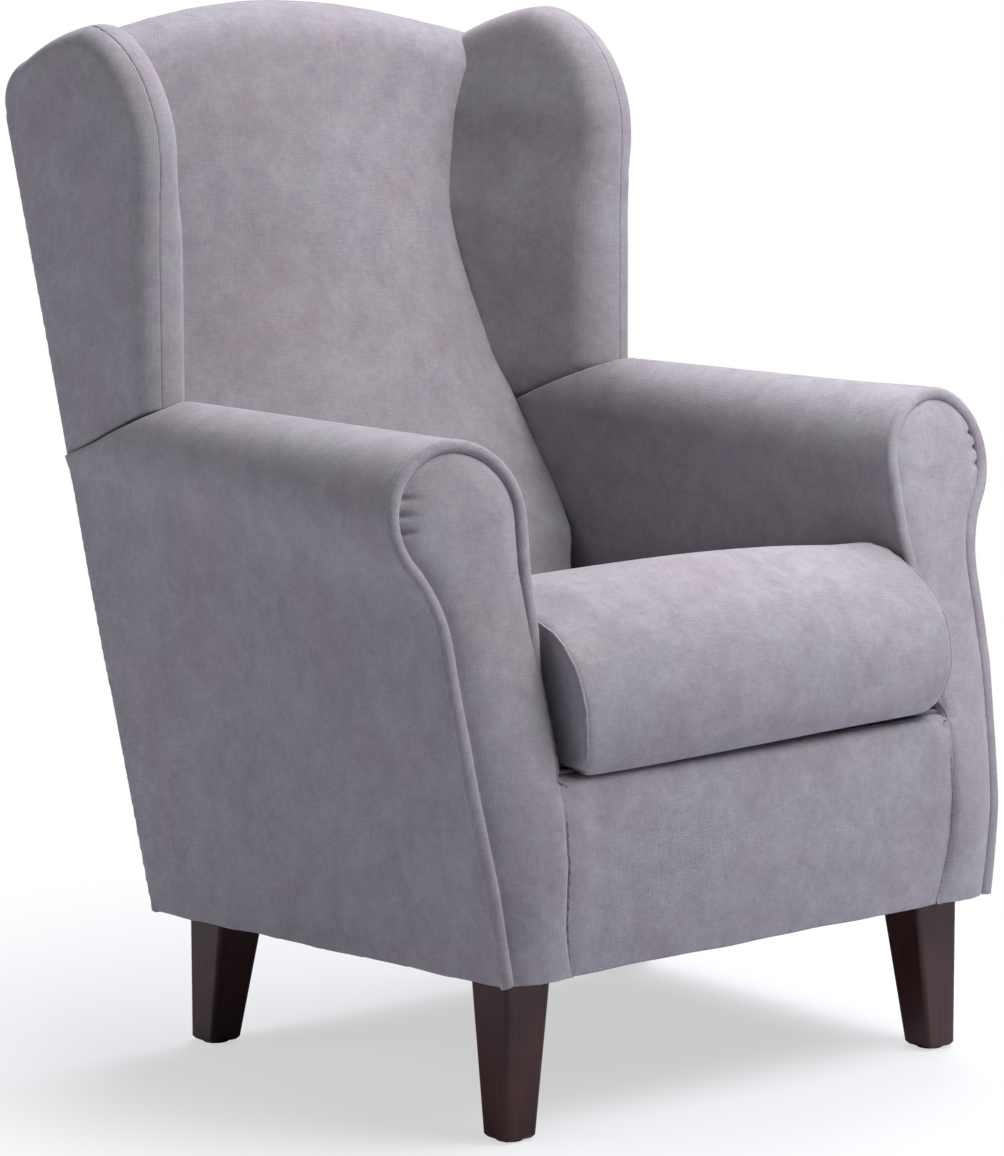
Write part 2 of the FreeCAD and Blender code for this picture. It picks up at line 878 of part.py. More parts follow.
def spring_clips():
    """Bent steel clips that hold the spring ends on the front and rear rails."""
    front, length = spring_ends()
    bore = spring_wire / 2.0 + seat_gap
    skin = bore + clip_thickness
    clips = []
    for x in spread(spring_count, spring_pitch * (spring_count - 1) / 2.0):
        for along, way in ((0.0, 1.0), (length, -1.0)):
            place = deck_frame(x - clip_width / 2.0, front, spring_below_deck)
            outline = wire(
                lambda a, up: place(0.0, along + way * a, up),
                (-clip_leaf, -skin),
                (0.0, -skin),
                ((skin, 0.0), (0.0, skin)),
                (-clip_leaf / 2.0, skin),
                (-clip_leaf / 2.0, bore),
                (0.0, bore),
                ((bore, 0.0), (0.0, -bore)),
                (-clip_leaf, -bore),
            )
            clips.append(Part.Face(outline).extrude(V(clip_width, 0, 0)))
    return Part.Compound(clips)


def leg_corner(front):
    """Outer corner of a leg and the way it grows inwards along Y."""
    if front:
        return leg_front_y, 1.0
    return leg_rear_y, -1.0


def leg_axis(front):
    corner, way = leg_corner(front)
    half = leg_top_width / 2.0
    return leg_outer_x - half, corner + way * half


def leg_seat_z(front):
    return rail_foot_z(leg_axis(front)[1])


def leg(front):
    """Square tapered leg: the two outer faces are plumb, the inner ones taper."""
    corner, way = leg_corner(front)
    top = leg_seat_z(front) + leg_top_width
    growth = (leg_top_width - leg_foot_width) * (top - glide_height) / (leg_seat_z(front) - glide_height)

    def section(z, width, inset=0.0):
        outer = (leg_outer_x - inset, corner + way * inset)
        inner = (leg_outer_x - width + inset, corner + way * (width - inset))
        ease = leg_edge_radius - inset
        bow = ease * (1.0 - math.sqrt(0.5))
        steps = []
        ring = ((outer[0], outer[1], 1.0, 1.0), (inner[0], outer[1], -1.0, 1.0))
        ring += ((inner[0], inner[1], -1.0, -1.0), (outer[0], inner[1], 1.0, -1.0))
        for i, (x, y, side_x, side_y) in enumerate(ring):
            along = (x - side_x * ease, y)
            across = (x, y + side_y * way * ease)
            middle = (x - side_x * bow, y + side_y * way * bow)
            first, last = (across, along) if i % 2 == 0 else (along, across)
            steps += [first, (middle, last)]
        return wire(lambda x, y: V(x, y, z), *steps)
    knee = glide_height + leg_foot_chamfer
    knee_width = leg_foot_width + growth * leg_foot_chamfer / (top - glide_height)
    form = loft(
        [
            section(glide_height, leg_foot_width, leg_foot_chamfer),
            section(knee, knee_width),
            section(top, leg_foot_width + growth),
        ],
        True,
    )
    above = plate(
        0.0, far,
        (-far, rail_foot_z(-far)),
        (far, rail_foot_z(far)),
        (far, far),
        (-far, far),
    )
    x, y = leg_axis(front)
    bolt_foot = V(x, y, leg_seat_z(front) - bolt_leg_length)
    bolt = rod(bolt_radius + fit_gap, bolt_leg_length + bolt_radius, bolt_foot, V(0, 0, 1))
    foot_x, foot_y = foot_axis(front)
    pin = rod(glide_pin_radius + fit_gap, glide_pin_length, V(foot_x, foot_y, glide_height), V(0, 0, 1))
    return form.cut(above).cut(bolt).cut(pin)


def foot_axis(front):
    corner, way = leg_corner(front)
    half = leg_foot_width / 2.0
    return leg_outer_x - half, corner + way * half


def leg_glide(front):
    x, y = foot_axis(front)
    disc = rod(glide_radius, glide_height, V(x, y, 0.0), V(0, 0, 1))
    pin = rod(glide_pin_radius, glide_pin_length + glide_height - fit_gap, V(x, y, 0.0), V(0, 0, 1))
    return disc.fuse(pin).removeSplitter()


def hanger_bolt(front):
    x, y = leg_axis(front)
    foot = leg_seat_z(front) - bolt_leg_length + fit_gap
    top = leg_seat_z(front) + block_height + 2 * tee_nut_flange_thickness
    return rod(bolt_radius, top - foot, V(x, y, foot), V(0, 0, 1))


def block_top(front):
    return leg_seat_z(front) + block_height


def tee_nut(front):
    x, y = leg_axis(front)
    top = block_top(front)
    flange = rod(tee_nut_flange_radius, tee_nut_flange_thickness, V(x, y, top), V(0, 0, 1))
    barrel = rod(tee_nut_barrel_radius, tee_nut_barrel_length, V(x, y, top), V(0, 0, -1))
    bore = rod(bolt_radius + fit_gap, far, V(x, y, top - far / 2.0), V(0, 0, 1))
    return flange.fuse(barrel).removeSplitter().cut(bore)


def block_screw_lines(front):
    """Start and direction of the two screws that hold a corner block, from their heads."""
    y = leg_axis(front)[1]
    way = leg_corner(front)[1]
    z = leg_seat_z(front) + block_height / 2.0
    side_y = y + way * (tee_nut_flange_radius + 2 * screw_head_radius)
    end_x = rail_x - block_length + 2 * screw_head_radius
    if front:
        end_face = base_front_y + rail_setback + board_thickness
    else:
        end_face = rear_y(z, frame_front_inset)
    return (
        (V(rail_x - screw_grip, side_y, z), V(1, 0, 0)),
        (V(end_x, end_face + way * screw_grip, z), V(0, -way, 0)),
    )


def block_screw(start, direction):
    shank = rod(screw_radius, screw_grip + screw_bite, start, direction)
    head = rod(screw_head_radius, screw_head_length, start, direction * -1.0)
    return head.fuse(shank).removeSplitter()


def block_screw_hole(start, direction):
    shank = rod(screw_radius + fit_gap, screw_grip + screw_bite + fit_gap, start, direction)
    head = rod(screw_head_radius + fit_gap, far, start, direction * -1.0)
    return head.fuse(shank)


def corner_block(front, neighbours):
    x, y = leg_axis(front)
    way = leg_corner(front)[1]
    inner = rail_x - block_length
    corner = leg_corner(front)[0] - way * block_length / 2.0
    deep = corner + way * 1.5 * block_length
    foot = rail_foot_z(y) - board_thickness
    outline = wire(
        lambda a, b: V(a, b, foot),
        (rail_x, corner),
        (rail_x, deep),
        (inner + block_length / 3.0, deep),
        (inner, deep - way * block_length / 3.0),
        (inner, corner),
    )
    block = Part.Face(outline).extrude(V(0, 0, block_top(front) - foot)).cut(below_base(rail_floor_gap))
    for neighbour in neighbours:
        block = block.cut(neighbour)
    if front:
        block = block.cut(box(0.0, far, -far, base_front_y + rail_setback + board_thickness, 0.0, far))
    else:
        block = block.cut(behind(frame_front_inset))
    bolt = rod(bolt_radius + fit_gap, far, V(x, y, 0.0), V(0, 0, 1))
    top = V(x, y, block_top(front))
    barrel = rod(tee_nut_barrel_radius + fit_gap, tee_nut_barrel_length + fit_gap, top, V(0, 0, -1))
    block = block.cut(bolt).cut(barrel)
    for start, direction in block_screw_lines(front):
        block = block.cut(block_screw_hole(start, direction))
    return max(block.Solids, key=lambda solid: solid.Volume)


def dust_cover():
    half = rail_x + board_thickness - rail_floor_gap
    front = base_front_y + rail_setback
    rear = base_rear_y - rail_setback
    low = rail_floor_gap - seat_gap - dust_cover_thickness
    high = rail_floor_gap - seat_gap
    sheet = plate(
        -half, half,
        (front, base_z(front) + low),
        (rear, base_z(rear) + low),
        (rear, base_z(rear) + high),
        (front, base_z(front) + high),
    )
    for front_leg in (True, False):
        corner, way = leg_corner(front_leg)
        room = rail_floor_gap
        y0, y1 = sorted((corner - way * room, corner + way * (leg_top_width + room)))
        hole = box(leg_outer_x - leg_top_width - room, leg_outer_x + room, y0, y1, 0.0, base_front_z + far)
        sheet = sheet.cut(hole).cut(mirrored(hole))
    return sheet


def cushion_rear_y(z):
    return rear_y(z, cushion_rear_inset)


def cushion_rear_foot(lift):
    return deck_meets_rear(cushion_rear_inset, -lift)


def cushion_form(shrink):
    """Seat cushion: waterfall front, crowned top, flat sides and a raked rear."""
    top_y = base_front_y + cushion_top_front
    top_z = deck_front_z + cushion_front_rise
    corner_z = meets_rear(cushion_rear_inset, top_y, top_z, cushion_top_pitch)
    rear_foot = cushion_rear_foot(soft_gap + shrink)

    def section(share):
        x = share * (cushion_half_width - shrink)
        lift = cushion_crown * (1.0 - share ** 2) - shrink
        nose = base_front_y - cushion_overhang + cushion_nose_bow * share ** 2 + shrink
        foot_y = nose + cushion_foot_tuck
        belly = (nose, deck_z(foot_y) + cushion_belly_rise)
        brow = (nose + cushion_brow_tuck, deck_z(foot_y) + cushion_brow_rise + lift / 2.0)
        front_top = (top_y, top_z + lift)
        rear_top_y = cushion_rear_y(corner_z) - cushion_rear_round - shrink
        rear_top = (rear_top_y, top_z + lift - math.tan(cushion_top_pitch) * (rear_top_y - top_y))
        rear_bend_z = rear_top[1] - cushion_rear_round
        rear_bend = (cushion_rear_y(rear_bend_z) - shrink, rear_bend_z)
        return wire(
            lambda y, z: V(x, y, z),
            (foot_y, deck_z(foot_y) + soft_gap + shrink),
            (belly, brow),
            bulge(brow, front_top, cushion_brow_bulge),
            bulge(front_top, rear_top, cushion_top_bulge),
            bulge(rear_top, rear_bend, cushion_rear_bulge),
            (cushion_rear_y(rear_foot) - shrink, rear_foot),
        )
    return loft([section(share) for share in crown_shares])


def zip_place():
    """Middle of the zip on the cushion's rear face, and the turn that lays it there."""
    z = cushion_rear_foot(soft_gap) + zip_rise
    turn = FreeCAD.Rotation(V(1, 0, 0), -math.degrees(back_rake))
    return FreeCAD.Placement(V(0, cushion_rear_y(z), z), turn)


def on_cushion_rear(shape):
    placed = shape.copy()
    placed.Placement = zip_place()
    return placed


def cushion_zip():
    half_tape = zip_tape_width / 2.0
    tape = box(-zip_half_length, zip_half_length, 0.0, zip_tape_thickness, -half_tape, half_tape)
    chain = box(
        -zip_half_length, zip_half_length, zip_tape_thickness, zip_tape_thickness + zip_chain_height,
        -zip_chain_width / 2.0, zip_chain_width / 2.0
    )
    return on_cushion_rear(tape.fuse(chain).removeSplitter())


def slider_x():
    return zip_half_length - slider_length


def zip_slider():
    """Slider astride the chain, with a small bridge on its back."""
    foot = zip_tape_thickness + seat_gap
    groove_top = zip_tape_thickness + zip_chain_height + seat_gap
    top = groove_top + slider_wall
    half = zip_chain_width / 2.0 + seat_gap
    x0 = slider_x() - slider_length / 2.0
    x1 = slider_x() + slider_length / 2.0
    body = box(x0, x1, foot, top, -half - slider_wall, half + slider_wall)
    body = body.cut(box(x0, x1, 0.0, groove_top, -half, half))
    reach = slider_bridge_length / 2.0
    side = slider_bridge_width / 2.0
    bridge = box(slider_x() - reach, slider_x() + reach, top, top + slider_bridge_height, -side, side)
    span = reach - slider_wall
    eye = box(slider_x() - span, slider_x() + span, top, top + slider_bridge_height / 2.0, -side, side)
    return on_cushion_rear(body.fuse(bridge.cut(eye)).removeSplitter())


def build():
    nodes = {}

    def pair(name, shape):
        nodes[name + "_right"] = shape
        nodes[name + "_left"] = mirrored(shape)

    post = arm_front_post()
    back = back_post()
    board = wing_board()
    crest = crest_rail()
    rail_side = side_rail()
    rail_front = front_rail()
    rail_rear = rear_rail()

    screws = []
    blocks = []
    side_holes = []
    front_holes = []
    rear_holes = []
    for front in (True, False):
        neighbours = (post, back, rail_side)
        blocks.append(corner_block(front, neighbours))
        lines = block_screw_lines(front)
        screws += [block_screw(start, direction) for start, direction in lines]
        side_holes.append(block_screw_hole(*lines[0]))
        if front:
            front_holes.append(block_screw_hole(*lines[1]))
        else:
            rear_holes.append(block_screw_hole(*lines[1]))
    for hole in side_holes:
        rail_side = rail_side.cut(hole)
    for hole in both_sides(front_holes):
        rail_front = rail_front.cut(hole)
    for hole in both_sides(rear_holes):
        rail_rear = rail_rear.cut(hole)

    nodes["front_rail"] = rail_front
    nodes["rear_rail"] = rail_rear
    pair("side_rail", rail_side)
    nodes["corner_blocks"] = Part.Compound(both_sides(blocks))
    nodes["corner_block_screws"] = Part.Compound(both_sides(screws))
    pair("arm_front_post", post)
    pair("arm_top_rail", arm_top_rail())
    pair("arm_tack_rail", arm_tack_rail())
    pair("back_post", back)
    pair("wing_board", board)
    nodes["crest_rail"] = crest
    nodes["lower_back_rail"] = lower_back_rail()
    nodes["upright_webbing"] = upright_webbing()
    nodes["cross_webbing"] = cross_webbing()
    nodes["seat_springs"] = seat_springs()
    nodes["spring_clips"] = spring_clips()
    nodes["seat_deck"] = seat_deck()
    nodes["dust_cover"] = dust_cover()

    pair("front_leg", leg(True))
    pair("rear_leg", leg(False))
    ends = (True, False)
    nodes["leg_glides"] = Part.Compound(both_sides([leg_glide(front) for front in ends]))
    nodes["leg_hanger_bolts"] = Part.Compound(both_sides([hanger_bolt(front) for front in ends]))
    nodes["leg_tee_nuts"] = Part.Compound(both_sides([tee_nut(front) for front in ends]))

    pair("arm_roll_pad", arm_roll_pad(post, board, back))
    pair("inside_arm_pad", inside_arm_pad(post))
    pair("outside_arm_panel", outside_arm_panel(post))
    pair("arm_facing", arm_facing())
    pair("arm_welt", arm_welt())
    pair("inside_wing_pad", inside_wing_pad(board, back))
    pair("outside_wing_panel", outside_wing_panel(board))
    wing = wing_form(soft_gap)
    nodes["inside_back_pad"] = inside_back_pad((wing, mirrored(wing)))
    nodes["outside_back_panel"] = outside_back_panel()
    nodes["front_apron"] = front_apron()

    core = cushion_form(cover_thickness)
    nodes["seat_cushion_cover"] = cushion_form(0.0).cut(core)
    nodes["seat_foam"] = cushion_form(cover_thickness + soft_gap)
    nodes["cushion_zip"] = cushion_zip()
    nodes["zip_slider"] = zip_slider()
    return nodes


os.makedirs("parts", exist_ok=True)
for name, shape in build().items():
    sizes = shape.BoundBox
    print(
        "%-24s solids %2d valid %s volume %9.0f  x %7.1f %7.1f  y %7.1f %7.1f  z %7.1f %7.1f"
        % (name, len(shape.Solids), shape.isValid(), shape.Volume,
           sizes.XMin, sizes.XMax, sizes.YMin, sizes.YMax, sizes.ZMin, sizes.ZMax)
    )
    shape.exportStep("parts/" + name + ".step")
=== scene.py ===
import json
import math

import bpy
import numpy as np
from mathutils import Matrix, Vector
from mathutils.kdtree import KDTree

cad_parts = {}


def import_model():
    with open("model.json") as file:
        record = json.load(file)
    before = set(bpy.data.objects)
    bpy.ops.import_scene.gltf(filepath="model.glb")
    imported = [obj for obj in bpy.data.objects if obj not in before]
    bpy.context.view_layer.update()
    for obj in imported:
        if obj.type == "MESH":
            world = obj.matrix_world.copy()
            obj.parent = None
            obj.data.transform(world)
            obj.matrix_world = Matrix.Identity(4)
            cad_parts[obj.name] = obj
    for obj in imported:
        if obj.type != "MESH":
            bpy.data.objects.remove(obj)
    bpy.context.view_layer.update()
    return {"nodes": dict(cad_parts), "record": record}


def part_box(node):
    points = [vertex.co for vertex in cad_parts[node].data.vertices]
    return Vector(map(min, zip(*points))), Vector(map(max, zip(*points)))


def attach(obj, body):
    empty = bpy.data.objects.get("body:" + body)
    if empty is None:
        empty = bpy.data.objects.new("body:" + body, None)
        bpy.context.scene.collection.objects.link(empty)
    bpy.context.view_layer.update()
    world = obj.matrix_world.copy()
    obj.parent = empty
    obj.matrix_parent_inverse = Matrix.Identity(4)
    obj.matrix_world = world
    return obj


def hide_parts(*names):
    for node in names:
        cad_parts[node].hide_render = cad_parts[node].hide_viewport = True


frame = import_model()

# A wing armchair in grey woven microfibre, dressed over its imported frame.
# Lengths below are millimetres in the chair's own frame: +Z is up and the sitter faces -Y.

MM = 0.001

# Planes of the chair that the covers follow
base_front_y = -399.5
base_front_z = 160.0
base_depth = 574.0
base_drop = 29.0
base_half_width = 313.6
facing_front_y = -405.5
facing_rake = math.radians(10.75)
facing_yaw = math.radians(6.8)
facing_depth = 12.0
back_rake = math.radians(16.3)
base_rear_y = base_front_y + base_depth
base_rear_z = base_front_z - base_drop

# How far an arm's front stands out from its plane, by height: beside the apron and at the outer edge
belly_inner_x = 247.0
belly_inner_z = (160.0, 229.0, 268.0, 318.0, 350.0, 430.0, 535.0)
belly_inner = (-9.0, 15.0, 25.0, 29.0, 27.0, 13.0, 0.0)
belly_outer_x = 335.0
belly_outer_z = (160.0, 205.0, 250.0, 390.0, 460.0, 535.0)
belly_outer = (-5.0, 0.0, 6.0, 8.0, 4.0, 0.0)
belly_reach = 90.0

# Below, a pair that smoothstep takes says where a change begins and where it is complete.

# Arm covers: they lap the piping, and the neck under the roll is rounded off
piping_band = 4.0
piping_near = (11.0, 7.0)
piping_lap = 5.0
neck_x = (295.0, 305.0)
neck_z = (240.0, 330.0)
neck_from_front = (30.0, 120.0)
neck_from_rear = (8.0, 70.0)

# Arm fronts: inner edge beside the apron and the cushion, crown, and gathers at the roll
apron_half_width = 246.0
apron_taper = 12.0
apron_shoulder_z = 240.0
apron_top_z = 350.0
arm_draft = math.radians(3.3)
facing_edge_radius = 9.0
facing_edge_top_z = (540.0, 470.0)
facing_edge_foot_z = (165.0, 215.0)
facing_rim_depth = 5.0
facing_crown = 11.0
facing_crown_run = 15.0
facing_rear_depth = (6.0, 11.0)
facing_rear_z = (430.0, 350.0)
facing_reach_z = (330.0, 362.0, 430.0, 500.0, 545.0)
facing_reach = (0.0, 12.0, 10.0, 5.0, 0.0)
facing_reach_run = (70.0, 14.0)
facing_open = 60.0
facing_open_z = (430.0, 560.0)
roll_x = 306.0
gathers_z = (582.0, 598.0, 613.0)
gather_depth = 5.0
gather_height = 2.6
gather_reach = 14.0

# Piping: its inner end sinks in beside the cushion
piping_swell = 1.2
piping_end_x = 280.0
piping_end_z = (500.0, 410.0)
piping_end_depth = 10.0

# Wings: the front edge is evened over a stretch, and the inside follows the back's edge
wing_seam_x = 299.6
wing_depth = 90.0
wing_even_z = (760.0, 960.0)
wing_even_step = 8.0
wing_even_band = 6.0
wing_even_ends = 40.0
wing_front_reach = (45.0, 10.0)
wing_top_out = 28.0
wing_top_z = (900.0, 1015.0)
wing_lap = 20.0
wing_lap_z = (590.0, 650.0)
wing_lap_end_z = (890.0, 800.0)
wing_round = (2.0, 20.0)

# Apron: its sides follow the arm fronts and run in behind them
apron_belly = 4.0
apron_belly_z = 250.0
apron_belly_half_height = 90.0
apron_side_x = 200.0
apron_tuck = 6.0
apron_groove = 3.0
apron_groove_x = (226.0, 238.0)
apron_lap = 14.0
apron_lap_x = (222.0, 240.0)
apron_lap_top_z = (320.0, 345.0)
apron_lap_top_loss = 0.6

# Inside back: how far its side edges stand out or draw in, by height, and its top corners
back_edge_z = (
    435.0, 455.0, 475.0, 495.0, 520.0, 545.0, 580.0, 630.0, 680.0, 740.0, 815.0, 878.0, 940.0, 1000.0)
back_edge = (-9.0, -3.0, 2.0, 6.0, 8.0, 7.5, 4.0, -2.0, -10.0, -12.0, -7.0, 0.0, 5.0, 11.0)
back_edge_x = (120.0, 205.0)
back_free_x = (225.0, 150.0)
back_free_z = (1000.0, 900.0)
back_corner_out = 32.0
back_corner_x = (140.0, 205.0)
back_corner_z = (870.0, 985.0)
back_corner_down = 9.0
back_corner_down_z = (930.0, 990.0)
back_tuck = 7.0
back_tuck_x = (170.0, 215.0)
back_tuck_z = (640.0, 690.0)
back_lap = 4.0
back_lap_z = (860.0, 910.0)

# Outside back
panel_lap = 7.0
panel_lap_z = (700.0, 900.0)
panel_lap_x = (285.0, 255.0)
panel_wadding = 4.0

# Deck and the cloth under the seat
deck_front_z = 355.0
deck_pitch = math.radians(7.1)
deck_lap = 30.0
deck_lap_run = 40.0
deck_rise = 1.0
leg_room = 3.0
dust_sag = 4.0
dust_lift = 1.0
dust_thickness = 0.6
dust_lines_x = 24
dust_lines_y = 44

# Cushion: half width between the arms, and by height in front of them
cushion_half_width = 230.0
nose_z = (364.0, 397.0, 430.0, 455.0, 475.0, 489.0)
nose_half_width = (228.0, 235.0, 237.0, 238.0, 240.0, 241.0)
nose_ahead = (2.0, -34.0)
nose_x = 150.0

# Cushion: how its top droops at the sides and falls to the rear, and how its left front sits down
cushion_top_z = 512.0
cushion_rear_inset = 134.0
cushion_free_x = (226.0, 170.0)
cushion_droop_left = 15.0
cushion_droop_right = -4.0
droop_x = (175.0, 238.0)
droop_y = (-398.0, -350.0)
droop_z = (430.0, 505.0)
cushion_fall = 24.0
fall_front_y = -320.0
fall_run = 430.0
fall_rear = (70.0, 0.0)
cushion_sit = 7.0
sit_x = (220.0, -230.0)
sit_y = (-310.0, -380.0)
sit_height = (60.0, 0.0)
cushion_foot_left = 11.0
cushion_foot_right = 24.0
cushion_foot_x = 170.0
seam_foot = 12.0
seam_step = 4.0
seam_radius = 1.7

# Bottom edge of the covers
hem_wave = 0.5
hem_reach = 18.0
hem_long_wave = 31.0
hem_short_wave = 13.0

sides = {"right": 1.0, "left": -1.0}


def base_z(y):
    """Height of the seat base's lower edge."""
    return base_front_z - base_drop * (y - base_front_y) / base_depth


def rear_y(z):
    """The raked plane of the chair's rear."""
    return base_rear_y + math.tan(back_rake) * (z - base_rear_z)


def facing_y(x, z):
    """The raked plane of the arms' fronts."""
    lean = math.tan(facing_rake) * (z - base_front_z)
    return facing_front_y + lean + math.tan(facing_yaw) * (np.abs(x) - base_half_width)


def belly(x, z):
    """How far the padding of an arm's front stands out ahead of its plane."""
    share = np.clip((np.abs(x) - belly_inner_x) / (belly_outer_x - belly_inner_x), 0.0, 1.0)
    inner = np.interp(z, belly_inner_z, belly_inner)
    outer = np.interp(z, belly_outer_z, belly_outer)
    return inner + (outer - inner) * share


def smoothstep(low, high, value):
    """Rises softly from nought at low to one at high."""
    t = np.clip((value - low) / (high - low), 0.0, 1.0)
    return t * t * (3.0 - 2.0 * t)


# Mesh tools

def activate(obj):
    """Makes one object the only selected one."""
    bpy.ops.object.select_all(action="DESELECT")
    obj.select_set(True)
    bpy.context.view_layer.objects.active = obj


def points(obj):
    """Vertex places in millimetres."""
    flat = np.zeros(len(obj.data.vertices) * 3)
    obj.data.vertices.foreach_get("co", flat)
    return flat.reshape(-1, 3) / MM


def put(obj, places):
    """Sets vertex places given in millimetres."""
    obj.data.vertices.foreach_set("co", (places * MM).ravel())
    obj.data.update()


def normals(obj):
    flat = np.zeros(len(obj.data.vertices) * 3, np.float32)
    obj.data.vertex_normals.foreach_get("vector", flat)
    return flat.reshape(-1, 3).astype(float)


def copy_nodes(name, *nodes, swell=0.0):
    """A new object from the merged meshes of some solids of the frame, each swollen a little."""
    copies = []
    for node in nodes:
        copy = bpy.data.objects.new(name, frame["nodes"][node].data.copy())
        copy.data.materials.clear()
        bpy.context.scene.collection.objects.link(copy)
        activate(copy)
        bpy.ops.object.mode_set(mode="EDIT")
        bpy.ops.mesh.select_all(action="SELECT")
        bpy.ops.mesh.remove_doubles(threshold=0.01 * MM)
        bpy.ops.object.mode_set(mode="OBJECT")
        bpy.ops.mesh.customdata_custom_splitnormals_clear()
        put(copy, points(copy) + normals(copy) * swell)
        copies.append(copy)
    for copy in copies:
        copy.select_set(True)
    if len(copies) > 1:
        bpy.ops.object.join()
    whole = bpy.context.object
    whole.name = name
    return whole


def remesh(obj, voxel):
    activate(obj)
    obj.data.remesh_voxel_size = voxel * MM
    obj.data.use_remesh_preserve_attributes = False
    bpy.ops.object.voxel_remesh()


def pull(obj, steps):
    """Moves each point by a share of the way to the mean of its neighbours, once for each step."""
    count = len(obj.data.vertices)
    pairs = np.zeros(len(obj.data.edges) * 2, int)
    obj.data.edges.foreach_get("vertices", pairs)
    a, b = pairs.reshape(-1, 2).T
    links = np.bincount(a, minlength=count) + np.bincount(b, minlength=count)
    places = points(obj)
    for step in steps:
        for axis in range(3):
            line = places[:, axis]
            near = np.bincount(a, line[b], count) + np.bincount(b, line[a], count)
            places[:, axis] = line + step * (near / links - line)
    put(obj, places)


def relax(obj, rounds):
    """Evens out the surface without shrinking it."""
    pull(obj, (0.5, -0.53) * rounds)


def soften(obj, rounds, share):
    """Rounds the shape off where share is one and leaves it where share is nought."""
    pull(obj, [0.6 * share] * rounds)


def inflate(obj, pressure, cap, free):
    """Blows a pad up as cloth; free is each point's share of the movement, up to the cap."""
    held_share = 0.05
    last_frame = 20
    start = points(obj)
    held = obj.vertex_groups.new(name="held")
    for index in np.flatnonzero(free < held_share):
        held.add([int(index)], 1.0, "REPLACE")
    cloth = obj.modifiers.new("Cloth", "CLOTH")
    cloth.settings.quality = 5
    cloth.settings.use_pressure = True
    cloth.settings.uniform_pressure_force = pressure
    cloth.settings.effector_weights.gravity = 0.0
    cloth.settings.vertex_group_mass = "held"
    cloth.collision_settings.use_collision = False
    cloth.point_cache.frame_end = last_frame
    for number in range(1, last_frame + 1):
        bpy.context.scene.frame_set(number)
    shape = obj.evaluated_get(bpy.context.evaluated_depsgraph_get()).data
    flat = np.zeros(len(shape.vertices) * 3)
    shape.vertices.foreach_get("co", flat)
    move = flat.reshape(-1, 3) / MM - start
    length = np.linalg.norm(move, axis=1)
    scale = np.minimum(1.0, cap / np.maximum(length, 1e-6)) * free
    obj.modifiers.remove(cloth)
    obj.vertex_groups.remove(held)
    bpy.context.scene.frame_set(1)
    put(obj, start + move * scale[:, None])


def finish_cloth(obj, material, body, replaced, axis=None):
    """Smooth shading, weave coordinates, finish and ride of one upholstered piece."""
    activate(obj)
    bpy.ops.object.shade_smooth()
    while obj.data.uv_layers:
        obj.data.uv_layers.remove(obj.data.uv_layers[0])
    lay_weave(obj, axis)
    obj.data.materials.clear()
    obj.data.materials.append(material)
    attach(obj, body)
    if replaced:
        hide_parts(*replaced)
    return obj


def lay_weave(obj, axis):
    """Weave coordinates in metres, seen along one axis, or along each face's own main axis."""
    mesh = obj.data
    ways = np.zeros(len(mesh.polygons) * 3, np.float32)
    mesh.polygons.foreach_get("normal", ways)
    corners = np.zeros(len(mesh.polygons), int)
    mesh.polygons.foreach_get("loop_total", corners)
    used = np.zeros(len(mesh.loops), int)
    mesh.loops.foreach_get("vertex_index", used)
    main = np.repeat(np.argmax(np.abs(ways.reshape(-1, 3)), axis=1), corners)
    if axis is not None:
        main[:] = axis
    places = points(obj)[used] * MM
    across = np.where(main == 0, places[:, 1], places[:, 0])
    along = np.where(main == 2, places[:, 1], places[:, 2])
    layer = mesh.uv_layers.new(name="weave")
    layer.data.foreach_set("uv", np.column_stack([across, along]).ravel())


# Materials

def linear(code):
    """Linear colour from an sRGB hex value."""
    parts = [int(code[i:i + 2], 16) / 255.0 for i in (1, 3, 5)]
    return [c / 12.92 if c <= 0.04045 else ((c + 0.055) / 1.055) ** 2.4 for c in parts] + [1.0]


def add(tree, kind, inputs=None, **settings):
    """Adds a node; an input that is a socket is linked, and any other is set."""
    node = tree.nodes.new(kind)
    for name, value in settings.items():
        setattr(node, name, value)
    for name, value in (inputs or {}).items():
        if isinstance(value, bpy.types.NodeSocket):
            tree.links.new(value, node.inputs[name])
        else:
            node.inputs[name].default_value = value
    return node


def new_material(name):
    material = bpy.data.materials.new(name)
    material.use_nodes = True
    tree = material.node_tree
    tree.nodes.clear()
    return material, tree


